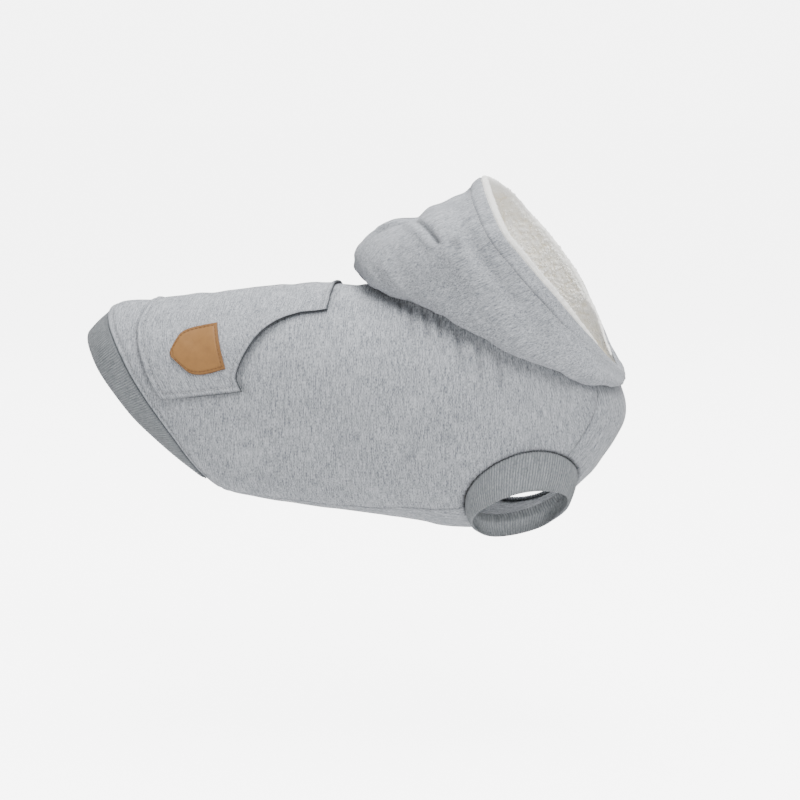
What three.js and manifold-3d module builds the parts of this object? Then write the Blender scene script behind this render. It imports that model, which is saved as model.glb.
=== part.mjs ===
// Dog hoodie, as worn: a sweatshirt body, a hood that lies back, a pouch pocket and ribbed edges.
// Units are millimetres. +X runs towards the head, +Y to the wearer's left and +Z up.
// The origin is on the inside of the back, where the garment lies on the spine.

import * as THREE from 'three';
import { mergeVertices } from 'three/addons/utils/BufferGeometryUtils.js';
import Module from 'manifold-3d';

const wasm = await Module();
wasm.setup();

// Body sizes
const BACK_LENGTH = 275;
const BODY_DEPTH = 180;
const BODY_WIDTH = 148;
const BODY_WALL = 2.5;
const UPPER_ROUNDING = 0.9;
const SEAM_GAP = 0.3;

// Ribbed hem over the rump
const BAND_WIDTH = 20;
const RIB_WALL = 2.2;

// Leg holes and their ribbed cuffs
const LEG_HOLE_WIDTH = 69;
const CUFF_END_WIDTH = 72;
const CUFF_DROP = 13;
const CUFF_TUCK = 2;

// Hood
const HOOD_HEIGHT = 81;
const HOOD_WIDTH = 124;
const HOOD_WALL = 2;
const PEAK_REACH = 5;
const RIM_SKEW = 12;
const SKEW_EASE = 0.7;
const CHEST_LAP = 2;
const HOOD_CLEARANCE = 0.6;

// Hood section: the share of it from the rim to the fold's seat, how far along the under layer its
// guide point lies, the shares of the fold's height at the fold and at the crown above it, and the
// share of the roll at the crown.
const FOLD_SHARE = 0.75;
const UNDER_STEP = 0.4;
const FOLD_RISE = 0.42;
const CROWN_RISE = 0.95;
const CROWN_REACH = 0.15;

// Fleece lining of the hood
const LINING_WALL = 3;
const LINING_EDGE = 3;

// Pouch pocket and patch
const POCKET_WALL = 2;
const POCKET_CLEARANCE = 0.5;
const POCKET_OPENING_LIFT = 2;
const PATCH_LENGTH = 40;
const PATCH_WIDTH = 37;
const PATCH_WALL = 1.2;
const PATCH_CLEARANCE = 0.5;

// Mesh steps
const BODY_STEPS = 24;
const BACK_SIDES = 28;
const BELLY_SIDES = 8;
const BAND_STEPS = 3;
const BAND_SIDES = 28;
const HOOD_STEPS = 18;
const LINING_STEPS = 10;
const HOOD_STEP_EASE = 1.5;
const HOOD_PROFILE_STEPS = 14;
const CUFF_SIDES = 28;
const CUFF_STEPS = 4;
const POCKET_STEPS = 9;
const POCKET_SIDES = 24;
const PATCH_STEPS = 6;
const PATCH_SIDES = 6;

// Cross sections of the body from the rump hem to the neck seam, evenly spread along it.
// topX, lowX and bow are shares of BACK_LENGTH, topZ and lowZ of BODY_DEPTH, half of BODY_WIDTH.
// bow moves the flanks rearward, low is the rounding below, and seam is the side seam's angle
// from the spine in degrees.
const BODY_SECTIONS = [
  { topX: -0.604, topZ: -0.122, lowX: -0.249, lowZ: -0.861, half: 0.351, bow: 0.022, low: 0.72, seam: 150 },
  { topX: -0.571, topZ: -0.078, lowX: -0.215, lowZ: -0.869, half: 0.378, bow: 0.022, low: 0.70, seam: 150 },
  { topX: -0.455, topZ: -0.064, lowX: -0.120, lowZ: -0.892, half: 0.419, bow: 0.018, low: 0.70, seam: 149 },
  { topX: -0.309, topZ: -0.042, lowX: 0.011, lowZ: -0.917, half: 0.446, bow: 0.011, low: 0.72, seam: 148 },
  { topX: -0.164, topZ: -0.019, lowX: 0.135, lowZ: -0.936, half: 0.466, bow: 0.004, low: 0.76, seam: 146 },
  { topX: 0.000, topZ: 0.000, lowX: 0.244, lowZ: -0.961, half: 0.486, bow: 0, low: 0.82, seam: 141 },
  { topX: 0.164, topZ: 0.007, lowX: 0.364, lowZ: -0.986, half: 0.500, bow: 0, low: 0.88, seam: 136 },
  { topX: 0.273, topZ: 0.014, lowX: 0.495, lowZ: -0.967, half: 0.500, bow: 0, low: 0.90, seam: 134 },
  { topX: 0.338, topZ: 0.018, lowX: 0.631, lowZ: -0.885, half: 0.468, bow: 0, low: 0.90, seam: 133 },
  { topX: 0.375, topZ: 0.020, lowX: 0.739, lowZ: -0.714, half: 0.430, bow: 0, low: 0.90, seam: 131 },
  { topX: 0.389, topZ: 0.021, lowX: 0.806, lowZ: -0.520, half: 0.388, bow: 0, low: 0.90, seam: 129 },
  { topX: 0.396, topZ: 0.022, lowX: 0.784, lowZ: -0.339, half: 0.345, bow: 0, low: 0.90, seam: 131 },
];

// Rim of one half of the hood from the peak to the front of the chest, evenly spread.
// along is the share of the way from peak to chest, half and forward are shares of HOOD_WIDTH, and
// bulge, the swell of the cloth between rim and crown, is a share of HOOD_HEIGHT.
const HOOD_RIM = [
  { along: 0.000, half: 0.000, forward: 0.000, bulge: -0.012 },
  { along: 0.110, half: 0.347, forward: -0.016, bulge: 0.055 },
  { along: 0.236, half: 0.484, forward: -0.038, bulge: 0.090 },
  { along: 0.355, half: 0.508, forward: -0.027, bulge: 0.080 },
  { along: 0.475, half: 0.500, forward: -0.014, bulge: 0.062 },
  { along: 0.590, half: 0.476, forward: 0.000, bulge: 0.044 },
  { along: 0.710, half: 0.419, forward: 0.007, bulge: 0.031 },
  { along: 0.845, half: 0.298, forward: 0.016, bulge: 0.026 },
  { along: 1.000, half: 0.000, forward: 0.000, bulge: 0.016 },
];

// Fold of one half of the hood at the same places: run is its share of the way from rump hem to
// neck seam, angle its degrees from the spine, height and roll are shares of HOOD_HEIGHT, and neck
// is the degrees from the spine where the cloth ends on the neck seam.
const HOOD_FOLD = [
  { run: 0.524, angle: 0, height: 0.508, roll: 0.180, neck: 0 },
  { run: 0.560, angle: 18, height: 0.452, roll: 0.162, neck: 12 },
  { run: 0.630, angle: 31, height: 0.375, roll: 0.145, neck: 26 },
  { run: 0.715, angle: 43, height: 0.313, roll: 0.125, neck: 42 },
  { run: 0.805, angle: 58, height: 0.250, roll: 0.100, neck: 60 },
  { run: 0.870, angle: 76, height: 0.205, roll: 0.075, neck: 80 },
  { run: 0.918, angle: 96, height: 0.165, roll: 0.055, neck: 103 },
  { run: 0.956, angle: 126, height: 0.125, roll: 0.038, neck: 135 },
  { run: 0.991, angle: 180, height: 0.072, roll: 0.018, neck: 180 },
];

// Width of the ribbed hem at angles from the spine: angle in degrees, width a share of BAND_WIDTH.
const BAND_SECTIONS = [
  { angle: 0, width: 0.98 },
  { angle: 35, width: 1.00 },
  { angle: 70, width: 0.96 },
  { angle: 92, width: 0.90 },
  { angle: 108, width: 0.66 },
  { angle: 122, width: 0.34 },
  { angle: 134, width: 0.10 },
];

// Rear and front edges of the pocket at angles from the spine, as shares of the way from rump hem
// to neck seam. The front edge cuts back at the hand opening.
const POCKET_EDGES = [
  { angle: 0, rear: 0.168, front: 0.470 },
  { angle: 14, rear: 0.164, front: 0.469 },
  { angle: 28, rear: 0.156, front: 0.465 },
  { angle: 37, rear: 0.145, front: 0.460 },
  { angle: 39, rear: 0.143, front: 0.422 },
  { angle: 42, rear: 0.140, front: 0.397 },
  { angle: 48, rear: 0.135, front: 0.370 },
  { angle: 56, rear: 0.128, front: 0.341 },
  { angle: 64, rear: 0.122, front: 0.317 },
  { angle: 72, rear: 0.116, front: 0.295 },
  { angle: 79, rear: 0.113, front: 0.280 },
  { angle: 86, rear: 0.110, front: 0.278 },
];
const POCKET_SIDE_TAPER = 0.07;
const TAPER_STEPS = 4;
const OPENING_START = 38;
const OPENING_END = 80;

// Half width of the patch from its straight edge to its point, as a share of half PATCH_WIDTH.
const PATCH_OUTLINE = [
  { along: 0, half: 1.00 },
  { along: 0.58, half: 1.00 },
  { along: 0.72, half: 0.86 },
  { along: 0.86, half: 0.50 },
  { along: 1, half: 0.10 },
];
const PATCH_RUN_SHARE = 0.2775;
const PATCH_ANGLE = 55;
const PATCH_TURN_SHARE = 0.17;
const SLOPE_RUN_SHARE = 0.1;
const SLOPE_ANGLE = 1;

// Leg hole centre as shares of BACK_LENGTH, BODY_WIDTH and BODY_DEPTH, and the ways it and the
// cuff's end face.
const LEG_SHARES = { x: 0.533, y: -0.363, z: -0.811 };
const LEG_RUN_SHARE = 0.70;
const LEG_ANGLE = 130;
const LEG_AXIS = new THREE.Vector3(-0.27, -0.73, -0.6).normalize();
const CUFF_WAY = new THREE.Vector3(0.155, 0.35, -0.925).normalize();
const CUFF_AXIS = new THREE.Vector3(0.26, -0.57, -0.76).normalize();
const LEG_CUT_IN = 60;
const LEG_CUT_OUT = 40;

const RIGHT = 1;
const LEFT = -1;

// Steps for slopes, and how a place on the body is searched for
const NUDGE = 0.001;
const HOOD_NUDGE = 0.004;
const SEARCH_STEPS = 40;
const LONGEST_RUN_STEP = 0.05;
const LONGEST_ANGLE_STEP = 0.2;

// Colours of cloth, rib, lining and leather
const matt = (color, roughness) => new THREE.MeshStandardMaterial({ color, roughness, metalness: 0 });
const greyFleece = matt(0xaaacb0, 0.95);
const greyRib = matt(0x8f9497, 0.95);
const creamFleece = matt(0xd8d7d1, 1);
const tanLeather = matt(0xb08d69, 0.6);

const radians = THREE.MathUtils.degToRad;
const vector = (x, y, z) => new THREE.Vector3(x, y, z);

// A smooth curve through four neighbouring values, at t between the second and the third.
function smooth(before, start, end, after, t) {
  const linear = (end - before) * t;
  const square = (2 * before - 5 * start + 4 * end - after) * t * t;
  const cube = (3 * start - before - 3 * end + after) * t * t * t;
  return 0.5 * (2 * start + linear + square + cube);
}

// A column of a table of evenly spread rows, read at a share of the way down it.
function column(rows, name, share) {
  const last = rows.length - 1;
  const place = THREE.MathUtils.clamp(share, 0, 1) * last;
  const row = Math.min(Math.floor(place), last - 1);
  const start = rows[row][name];
  const end = rows[row + 1][name];
  const before = row > 0 ? rows[row - 1][name] : 2 * start - end;
  const after = row + 2 <= last ? rows[row + 2][name] : 2 * end - start;
  return smooth(before, start, end, after, place - row);
}

// A column of a table read by its key column, in straight lines between the rows.
function lookup(rows, key, name, value) {
  const next = rows.findIndex((row) => row[key] >= value);
  if (next === 0) return rows[0][name];
  if (next < 0) return rows[rows.length - 1][name];
  const low = rows[next - 1];
  const high = rows[next];
  return THREE.MathUtils.mapLinear(value, low[key], high[key], low[name], high[name]);
}

const signedPower = (value, power) => Math.sign(value) * Math.abs(value) ** power;

// Outer surface of the body: run is 0 at the rump hem and 1 at the neck seam, and angle turns from
// the spine down the right side.
function bodyPoint(run, angle) {
  const read = (name) => column(BODY_SECTIONS, name, run);
  const across = Math.sin(angle);
  const down = Math.cos(angle);
  const rounding = down > 0 ? UPPER_ROUNDING : read('low');
  const share = (1 - signedPower(down, rounding)) / 2;
  const x = THREE.MathUtils.lerp(read('topX'), read('lowX'), share) - read('bow') * Math.abs(across);
  const z = THREE.MathUtils.lerp(read('topZ'), read('lowZ'), share);
  const y = -read('half') * signedPower(across, rounding);
  return vector(x * BACK_LENGTH, y * BODY_WIDTH, z * BODY_DEPTH + BODY_WALL);
}

function bodyNormal(run, angle) {
  const alongRun = bodyPoint(Math.min(run + NUDGE, 1), angle)
    .sub(bodyPoint(Math.max(run - NUDGE, 0), angle));
  const alongAngle = bodyPoint(run, angle + NUDGE).sub(bodyPoint(run, angle - NUDGE));
  return alongAngle.cross(alongRun).normalize();
}

// A point at a height above the body's outer surface.
function abovePoint(run, angle, height) {
  return bodyPoint(run, angle).addScaledVector(bodyNormal(run, angle), height);
}

// Grid of points: make(i, j) for i and j from 0 to the step counts.
function grid(rows, columns, make) {
  const row = (i) => Array.from({ length: columns + 1 }, (_, j) => make(i, j));
  return Array.from({ length: rows + 1 }, (_, i) => row(i));
}

// Signed volume inside a closed set of triangles.
function enclosedVolume(positions, index) {
  const corner = (n) => vector().fromArray(positions, index[n] * 3);
  let sum = 0;
  for (let n = 0; n < index.length; n += 3) {
    sum += corner(n).dot(corner(n + 1).cross(corner(n + 2)));
  }
  return sum / 6;
}

// Closed wall between an outer and an inner grid. A round one joins its last column to its first.
function wallGeometry(outer, inner, round = false) {
  const rows = outer.length - 1;
  const columns = outer[0].length - 1;
  const width = round ? columns : columns + 1;
  const positions = [];
  for (const layer of [outer, inner]) {
    for (const row of layer) {
      for (let j = 0; j < width; j += 1) positions.push(row[j].x, row[j].y, row[j].z);
    }
  }
  const layerSize = (rows + 1) * width;
  const at = (layer, i, j) => layer * layerSize + i * width + (j % width);
  const index = [];
  const quad = (a, b, c, d) => index.push(a, b, c, a, c, d);
  for (let i = 0; i < rows; i += 1) {
    for (let j = 0; j < columns; j += 1) {
      quad(at(0, i, j), at(0, i + 1, j), at(0, i + 1, j + 1), at(0, i, j + 1));
      quad(at(1, i, j), at(1, i, j + 1), at(1, i + 1, j + 1), at(1, i + 1, j));
    }
  }
  for (let j = 0; j < columns; j += 1) {
    quad(at(0, 0, j), at(0, 0, j + 1), at(1, 0, j + 1), at(1, 0, j));
    quad(at(0, rows, j), at(1, rows, j), at(1, rows, j + 1), at(0, rows, j + 1));
  }
  if (!round) {
    for (let i = 0; i < rows; i += 1) {
      quad(at(0, i, 0), at(1, i, 0), at(1, i + 1, 0), at(0, i + 1, 0));
      quad(at(0, i, columns), at(0, i + 1, columns), at(1, i + 1, columns), at(1, i, columns));
    }
  }
  if (enclosedVolume(positions, index) < 0) index.reverse();
  const geometry = new THREE.BufferGeometry();
  geometry.setAttribute('position', new THREE.Float32BufferAttribute(positions, 3));
  geometry.setIndex(index);
  return geometry;
}

function toSolid(geometry) {
  const bare = geometry.clone();
  bare.deleteAttribute('normal');
  bare.deleteAttribute('uv');
  const merged = mergeVertices(bare);
  const vertProperties = new Float32Array(merged.attributes.position.array);
  const triVerts = new Uint32Array(merged.index.array);
  return new wasm.Manifold(new wasm.Mesh({ numProp: 3, vertProperties, triVerts }));
}

function toGeometry(solid) {
  const mesh = solid.getMesh();
  const geometry = new THREE.BufferGeometry();
  geometry.setAttribute('position', new THREE.BufferAttribute(mesh.vertProperties, 3));
  geometry.setIndex(new THREE.BufferAttribute(mesh.triVerts, 1));
  return geometry;
}

// The side seam's angle at a run, moved by half the seam gap towards the spine or the belly.
function seamAngle(run, way) {
  const seam = radians(column(BODY_SECTIONS, 'seam', run));
  const arcPerRadian = bodyPoint(run, seam + NUDGE).distanceTo(bodyPoint(run, seam - NUDGE)) / (2 * NUDGE);
  return seam + (way * SEAM_GAP) / 2 / arcPerRadian;
}

const TOWARDS_SPINE = -1;
const TOWARDS_BELLY = 1;

// The leg hole on one side: its centre and a frame of axes along and across it.
function legFrame(side) {
  const mirror = vector(1, side, 1);
  const along = LEG_AXIS.clone().multiply(mirror);
  const first = vector(1, 0, 0).addScaledVector(along, -along.x).normalize();
  const second = along.clone().cross(first);
  const centre = vector(LEG_SHARES.x * BACK_LENGTH, LEG_SHARES.y * BODY_WIDTH, LEG_SHARES.z * BODY_DEPTH)
    .add(vector(0, 0, BODY_WALL))
    .multiply(mirror);
  return { centre, along, first, second };
}

function legPrism(side) {
  const { centre, along, first, second } = legFrame(side);
  const corners = Array.from({ length: CUFF_SIDES }, (_, k) => {
    const turn = (2 * Math.PI * k) / CUFF_SIDES;
    return new THREE.Vector2(Math.cos(turn), Math.sin(turn)).multiplyScalar(LEG_HOLE_WIDTH / 2);
  });
  const options = { depth: LEG_CUT_IN + LEG_CUT_OUT, bevelEnabled: false };
  const geometry = new THREE.ExtrudeGeometry(new THREE.Shape(corners), options);
  geometry.translate(0, 0, -LEG_CUT_IN);
  geometry.applyMatrix4(new THREE.Matrix4().makeBasis(first, second, along).setPosition(centre));
  return toSolid(geometry);
}

function cutLegHoles(geometry) {
  let solid = toSolid(geometry);
  for (const side of [RIGHT, LEFT]) solid = solid.subtract(legPrism(side));
  return toGeometry(solid);
}

// Wall of the body between two angles that may change along the run.
function bodyWall(sides, startAngle, endAngle) {
  const place = (i, j) => {
    const run = i / BODY_STEPS;
    return [run, THREE.MathUtils.lerp(startAngle(run), endAngle(run), j / sides)];
  };
  const outer = grid(BODY_STEPS, sides, (i, j) => bodyPoint(...place(i, j)));
  const inner = grid(BODY_STEPS, sides, (i, j) => abovePoint(...place(i, j), -BODY_WALL));
  return wallGeometry(outer, inner);
}

function backPanel() {
  const edge = (run) => seamAngle(run, TOWARDS_SPINE);
  return cutLegHoles(bodyWall(BACK_SIDES, (run) => -edge(run), edge));
}

function bellyPanel() {
  const edge = (run) => seamAngle(run, TOWARDS_BELLY);
  return cutLegHoles(bodyWall(BELLY_SIDES, edge, (run) => 2 * Math.PI - edge(run)));
}

// Ribbed hem: carries the body's surface on past the rump hem and dies out at the flanks.
function rearBand() {
  const lastAngle = BAND_SECTIONS[BAND_SECTIONS.length - 1].angle;
  const layer = (depth) => grid(BAND_STEPS, BAND_SIDES, (i, j) => {
    const degrees = THREE.MathUtils.lerp(-lastAngle, lastAngle, j / BAND_SIDES);
    const angle = radians(degrees);
    const width = BAND_WIDTH * lookup(BAND_SECTIONS, 'angle', 'width', Math.abs(degrees));
    const rearward = bodyPoint(0, angle).sub(bodyPoint(NUDGE, angle)).normalize();
    return abovePoint(0, angle, -depth).addScaledVector(rearward, SEAM_GAP + (width * i) / BAND_STEPS);
  });
  return wallGeometry(layer(0), layer(RIB_WALL));
}

// A point of the body at a leg hole's turn and radius, found by stepping towards it.
function legHolePoint(side, turn, radius) {
  const { centre, first, second } = legFrame(side);
  const target = new THREE.Vector2(Math.cos(turn), Math.sin(turn)).multiplyScalar(radius);
  let run = LEG_RUN_SHARE;
  let angle = radians(LEG_ANGLE) * side;
  const flat = (r, a) => {
    const offset = bodyPoint(r, a).sub(centre);
    return new THREE.Vector2(offset.dot(first), offset.dot(second));
  };
  for (let step = 0; step < SEARCH_STEPS; step += 1) {
    const miss = target.clone().sub(flat(run, angle));
    const byRun = flat(run + NUDGE, angle).sub(flat(run - NUDGE, angle)).divideScalar(2 * NUDGE);
    const byAngle = flat(run, angle + NUDGE).sub(flat(run, angle - NUDGE)).divideScalar(2 * NUDGE);
    const area = byRun.cross(byAngle);
    run += THREE.MathUtils.clamp(miss.cross(byAngle) / area, -LONGEST_RUN_STEP, LONGEST_RUN_STEP);
    angle += THREE.MathUtils.clamp(byRun.cross(miss) / area, -LONGEST_ANGLE_STEP, LONGEST_ANGLE_STEP);
  }
  return bodyPoint(run, angle);
}

// Ribbed cuff: a short tube from just inside the leg hole to its own lower loop.
function cuff(side) {
  const frame = legFrame(side);
  const mirror = vector(1, side, 1);
  const endCentre = frame.centre.clone().addScaledVector(CUFF_WAY.clone().multiply(mirror), CUFF_DROP);
  const endAlong = CUFF_AXIS.clone().multiply(mirror);
  const endFirst = vector(1, 0, 0).addScaledVector(endAlong, -endAlong.x).normalize();
  const endSecond = endAlong.clone().cross(endFirst);
  const outer = grid(CUFF_STEPS, CUFF_SIDES, () => null);
  for (let j = 0; j <= CUFF_SIDES; j += 1) {
    const turn = (2 * Math.PI * (j % CUFF_SIDES)) / CUFF_SIDES;
    const start = legHolePoint(side, turn, LEG_HOLE_WIDTH / 2 - SEAM_GAP);
    const end = endCentre.clone()
      .addScaledVector(endFirst, (Math.cos(turn) * CUFF_END_WIDTH) / 2)
      .addScaledVector(endSecond, (Math.sin(turn) * CUFF_END_WIDTH) / 2);
    outer[0][j] = start.clone().addScaledVector(frame.along, -CUFF_TUCK);
    for (let i = 1; i <= CUFF_STEPS; i += 1) {
      outer[i][j] = start.clone().lerp(end, (i - 1) / (CUFF_STEPS - 1));
    }
  }
  const inner = outer.map((row) => {
    const centre = vector(0, 0, 0);
    for (const point of row.slice(0, CUFF_SIDES)) centre.addScaledVector(point, 1 / CUFF_SIDES);
    return row.map((point) => (
      point.clone().addScaledVector(centre.clone().sub(point).normalize(), RIB_WALL)));
  });
  return wallGeometry(outer, inner, true);
}

// The hood's peak on the centre seam and its front end on the chest.
const hoodPeak = bodyPoint(1, 0).setZ(HOOD_HEIGHT + BODY_WALL).add(vector(PEAK_REACH, 0, 0));
const hoodChest = bodyPoint(1, Math.PI).add(vector(CHEST_LAP / 2, 0, CHEST_LAP));
const rimWay = hoodChest.clone().sub(hoodPeak);
const rimForward = vector(-rimWay.z, 0, rimWay.x).normalize();

// A point of the hood's under layer, which lies on the body between the fold's seat and the neck
// seam: share is 0 at the seat and 1 at the seam.
function underPoint(turn, share) {
  const run = THREE.MathUtils.lerp(column(HOOD_FOLD, 'run', turn), 1, share);
  const angle = column(HOOD_FOLD, 'angle', turn);
  const neck = column(HOOD_FOLD, 'neck', turn);
  return abovePoint(run, radians(THREE.MathUtils.lerp(angle, neck, share)), HOOD_CLEARANCE);
}

// The points that a section of the hood runs through, from the rim over the outside and round the
// fold to its seat on the body, and one past it. They are worked out on the right side.
function hoodControls(turn, side) {
  const atRim = (name) => column(HOOD_RIM, name, turn);
  const atFold = (name) => column(HOOD_FOLD, name, turn);
  const along = THREE.MathUtils.clamp(atRim('along'), 0, 1);
  const skew = side === LEFT ? RIM_SKEW * Math.sin(Math.PI * along ** SKEW_EASE) : 0;
  const rim = hoodPeak.clone()
    .addScaledVector(rimWay, along)
    .addScaledVector(rimForward, atRim('forward') * HOOD_WIDTH + skew)
    .setY(-Math.max(atRim('half'), 0) * HOOD_WIDTH);
  const run = atFold('run');
  const angle = radians(atFold('angle'));
  const height = atFold('height') * HOOD_HEIGHT;
  const roll = atFold('roll') * HOOD_HEIGHT;
  const base = bodyPoint(run, angle);
  const up = bodyNormal(run, angle);
  const outward = base.clone().sub(bodyPoint(1, radians(atFold('neck'))));
  outward.addScaledVector(up, -outward.dot(up)).normalize();
  const fold = base.clone().addScaledVector(outward, roll).addScaledVector(up, height * FOLD_RISE);
  const crown = base.clone()
    .addScaledVector(outward, roll * CROWN_REACH)
    .addScaledVector(up, height * CROWN_RISE);
  const chord = crown.clone().sub(rim);
  const swell = chord.clone().cross(up).cross(chord).normalize();
  const cheek = rim.clone().lerp(crown, 1 / 2).addScaledVector(swell, atRim('bulge') * HOOD_HEIGHT);
  return [rim, cheek, crown, fold, underPoint(turn, 0), underPoint(turn, UNDER_STEP)];
}

// Outer surface of one half of the hood on the right side: turn runs from the peak to the chest
// and travel from the rim to the neck seam.
function hoodPoint(turn, travel, side) {
  if (travel >= FOLD_SHARE) return underPoint(turn, (travel - FOLD_SHARE) / (1 - FOLD_SHARE));
  const points = hoodControls(turn, side);
  const place = (Math.max(travel, 0) / FOLD_SHARE) * (points.length - 2);
  const span = Math.floor(place);
  const start = points[span];
  const end = points[span + 1];
  const before = span > 0 ? points[span - 1] : start.clone().multiplyScalar(2).sub(end);
  const after = points[span + 2];
  const [x, y, z] = ['x', 'y', 'z'].map((axis) => (
    smooth(before[axis], start[axis], end[axis], after[axis], place - span)));
  return vector(x, y, z);
}

// Points at a depth inside the hood's outer surface. They stay clear of the middle plane by half
// the seam gap, and the ends of the half lie in that plane's direction.
function hoodInside(turn, travel, side, depth) {
  const alongTurn = hoodPoint(Math.min(turn + HOOD_NUDGE, 1), travel, side)
    .sub(hoodPoint(Math.max(turn - HOOD_NUDGE, 0), travel, side));
  const alongTravel = hoodPoint(turn, Math.min(travel + HOOD_NUDGE, 1), side)
    .sub(hoodPoint(turn, Math.max(travel - HOOD_NUDGE, 0), side));
  const normal = alongTravel.cross(alongTurn);
  if (turn === 0 || turn === 1) normal.y = 0;
  return hoodPoint(turn, travel, side).addScaledVector(normal.normalize(), -depth);
}

// Turn of a section by its number from the peak: sections lie closer together towards the chest.
const sectionTurn = (number) => 1 - (1 - number / HOOD_STEPS) ** HOOD_STEP_EASE;

function hoodHalf(side) {
  const layer = (depth) => grid(HOOD_STEPS, HOOD_PROFILE_STEPS, (i, j) => {
    const turn = sectionTurn(side === LEFT ? i : HOOD_STEPS - i);
    const point = hoodInside(turn, j / HOOD_PROFILE_STEPS, side, depth);
    point.y = Math.min(point.y, -SEAM_GAP / 2) * side;
    return point;
  });
  return wallGeometry(layer(0), layer(HOOD_WALL));
}

// Fleece lining: follows both halves of the hood on the inside and stands past the rim.
function hoodLining() {
  const layer = (depth) => grid(2 * LINING_STEPS, HOOD_PROFILE_STEPS + 1, (i, j) => {
    const side = i > LINING_STEPS ? LEFT : RIGHT;
    const turn = sectionTurn(Math.abs(i - LINING_STEPS));
    const travel = Math.max(j - 1, 0) / HOOD_PROFILE_STEPS;
    const point = hoodInside(turn, travel, side, depth);
    if (j === 0) {
      const next = hoodInside(turn, 1 / HOOD_PROFILE_STEPS, side, depth);
      point.addScaledVector(point.clone().sub(next).normalize(), LINING_EDGE);
    }
    point.y *= side;
    return point;
  });
  const start = HOOD_WALL + SEAM_GAP;
  return wallGeometry(layer(start), layer(start + LINING_WALL));
}

const pocketEdge = (name, degrees) => lookup(POCKET_EDGES, 'angle', name, degrees);

// How far the pocket's underside stands off the body: more towards the hand openings.
function pocketLift(degrees, along) {
  const atOpening = THREE.MathUtils.clamp((degrees - OPENING_START) / (OPENING_END - OPENING_START), 0, 1);
  return POCKET_CLEARANCE + POCKET_OPENING_LIFT * Math.sin(Math.PI * atOpening) * along * along;
}

// The same at a place on the body, found by undoing the pocket's side taper.
function pocketLiftAt(run, degrees) {
  let along = 1 / 2;
  for (let step = 0; step < TAPER_STEPS; step += 1) {
    const flat = degrees / (1 - POCKET_SIDE_TAPER * along);
    along = (run - pocketEdge('rear', flat)) / (pocketEdge('front', flat) - pocketEdge('rear', flat));
  }
  return pocketLift(degrees / (1 - POCKET_SIDE_TAPER * along), along);
}

function pocket() {
  const widest = POCKET_EDGES[POCKET_EDGES.length - 1].angle;
  const layer = (height) => grid(POCKET_STEPS, POCKET_SIDES, (i, j) => {
    const along = i / POCKET_STEPS;
    const degrees = THREE.MathUtils.mapLinear(j, 0, POCKET_SIDES, -widest, widest);
    const flat = Math.abs(degrees);
    const run = THREE.MathUtils.lerp(pocketEdge('rear', flat), pocketEdge('front', flat), along);
    const angle = radians(degrees) * (1 - POCKET_SIDE_TAPER * along);
    return abovePoint(run, angle, pocketLift(flat, along) + height);
  });
  return wallGeometry(layer(POCKET_WALL), layer(0));
}

// Leather patch: lies on the pocket's right side with its point towards the rump.
function patch() {
  const place = (runShift, degreesShift) => (
    bodyPoint(PATCH_RUN_SHARE + runShift, radians(PATCH_ANGLE + degreesShift)));
  const runPerLength = SLOPE_RUN_SHARE / place(0, 0).distanceTo(place(-SLOPE_RUN_SHARE, 0));
  const degreesPerWidth = SLOPE_ANGLE / place(0, 0).distanceTo(place(0, SLOPE_ANGLE));
  const base = POCKET_WALL + PATCH_CLEARANCE;
  const layer = (height) => grid(PATCH_STEPS, PATCH_SIDES, (i, j) => {
    const along = i / PATCH_STEPS;
    const half = lookup(PATCH_OUTLINE, 'along', 'half', along);
    const across = (THREE.MathUtils.mapLinear(j, 0, PATCH_SIDES, -1, 1) * half * PATCH_WIDTH) / 2;
    const run = PATCH_RUN_SHARE - (along * PATCH_LENGTH + across * PATCH_TURN_SHARE) * runPerLength;
    const angle = PATCH_ANGLE + (across + along * PATCH_LENGTH * PATCH_TURN_SHARE) * degreesPerWidth;
    return abovePoint(run, radians(angle), pocketLiftAt(run, angle) + base + height);
  });
  return wallGeometry(layer(PATCH_WALL), layer(0));
}

function piece(name, geometry, material) {
  const mesh = new THREE.Mesh(geometry, material);
  mesh.name = name;
  return mesh;
}

const hoodie = new THREE.Group();
hoodie.add(piece('back_panel', backPanel(), greyFleece));
hoodie.add(piece('belly_panel', bellyPanel(), greyFleece));
hoodie.add(piece('rear_band', rearBand(), greyRib));
hoodie.add(piece('cuff_right', cuff(RIGHT), greyRib));
hoodie.add(piece('cuff_left', cuff(LEFT), greyRib));
hoodie.add(piece('hood_right', hoodHalf(RIGHT), greyFleece));
hoodie.add(piece('hood_left', hoodHalf(LEFT), greyFleece));
hoodie.add(piece('hood_lining', hoodLining(), creamFleece));
hoodie.add(piece('kangaroo_pocket', pocket(), greyFleece));
hoodie.add(piece('leather_patch', patch(), tanLeather));

export default hoodie;
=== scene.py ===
"""Dog hoodie as worn: a sweatshirt body, a hood that lies back, a pouch pocket and ribbed edges.

Lengths are metres. +X runs towards the head, +Y to the wearer's left and +Z up. The origin is on the
inside of the back, where the garment lies on the spine.
"""

import itertools
import math

import bmesh
import bpy
import numpy as np
from mathutils import Matrix, Vector


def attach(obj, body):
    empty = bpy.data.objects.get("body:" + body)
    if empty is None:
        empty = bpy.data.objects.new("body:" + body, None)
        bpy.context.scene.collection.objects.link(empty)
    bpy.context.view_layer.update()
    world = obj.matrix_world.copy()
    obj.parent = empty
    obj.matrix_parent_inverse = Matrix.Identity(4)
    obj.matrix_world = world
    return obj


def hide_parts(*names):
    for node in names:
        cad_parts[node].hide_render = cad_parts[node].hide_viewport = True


bl_info = {
    "name": "Dog Hoodie",
    "version": (1, 0, 0),
    "blender": (4, 5, 0),
    "location": "View3D > Sidebar > Dog Hoodie",
    "description": "Builds a fleece dog hoodie piece by piece, with its stage",
    "category": "Object",
}

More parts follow.
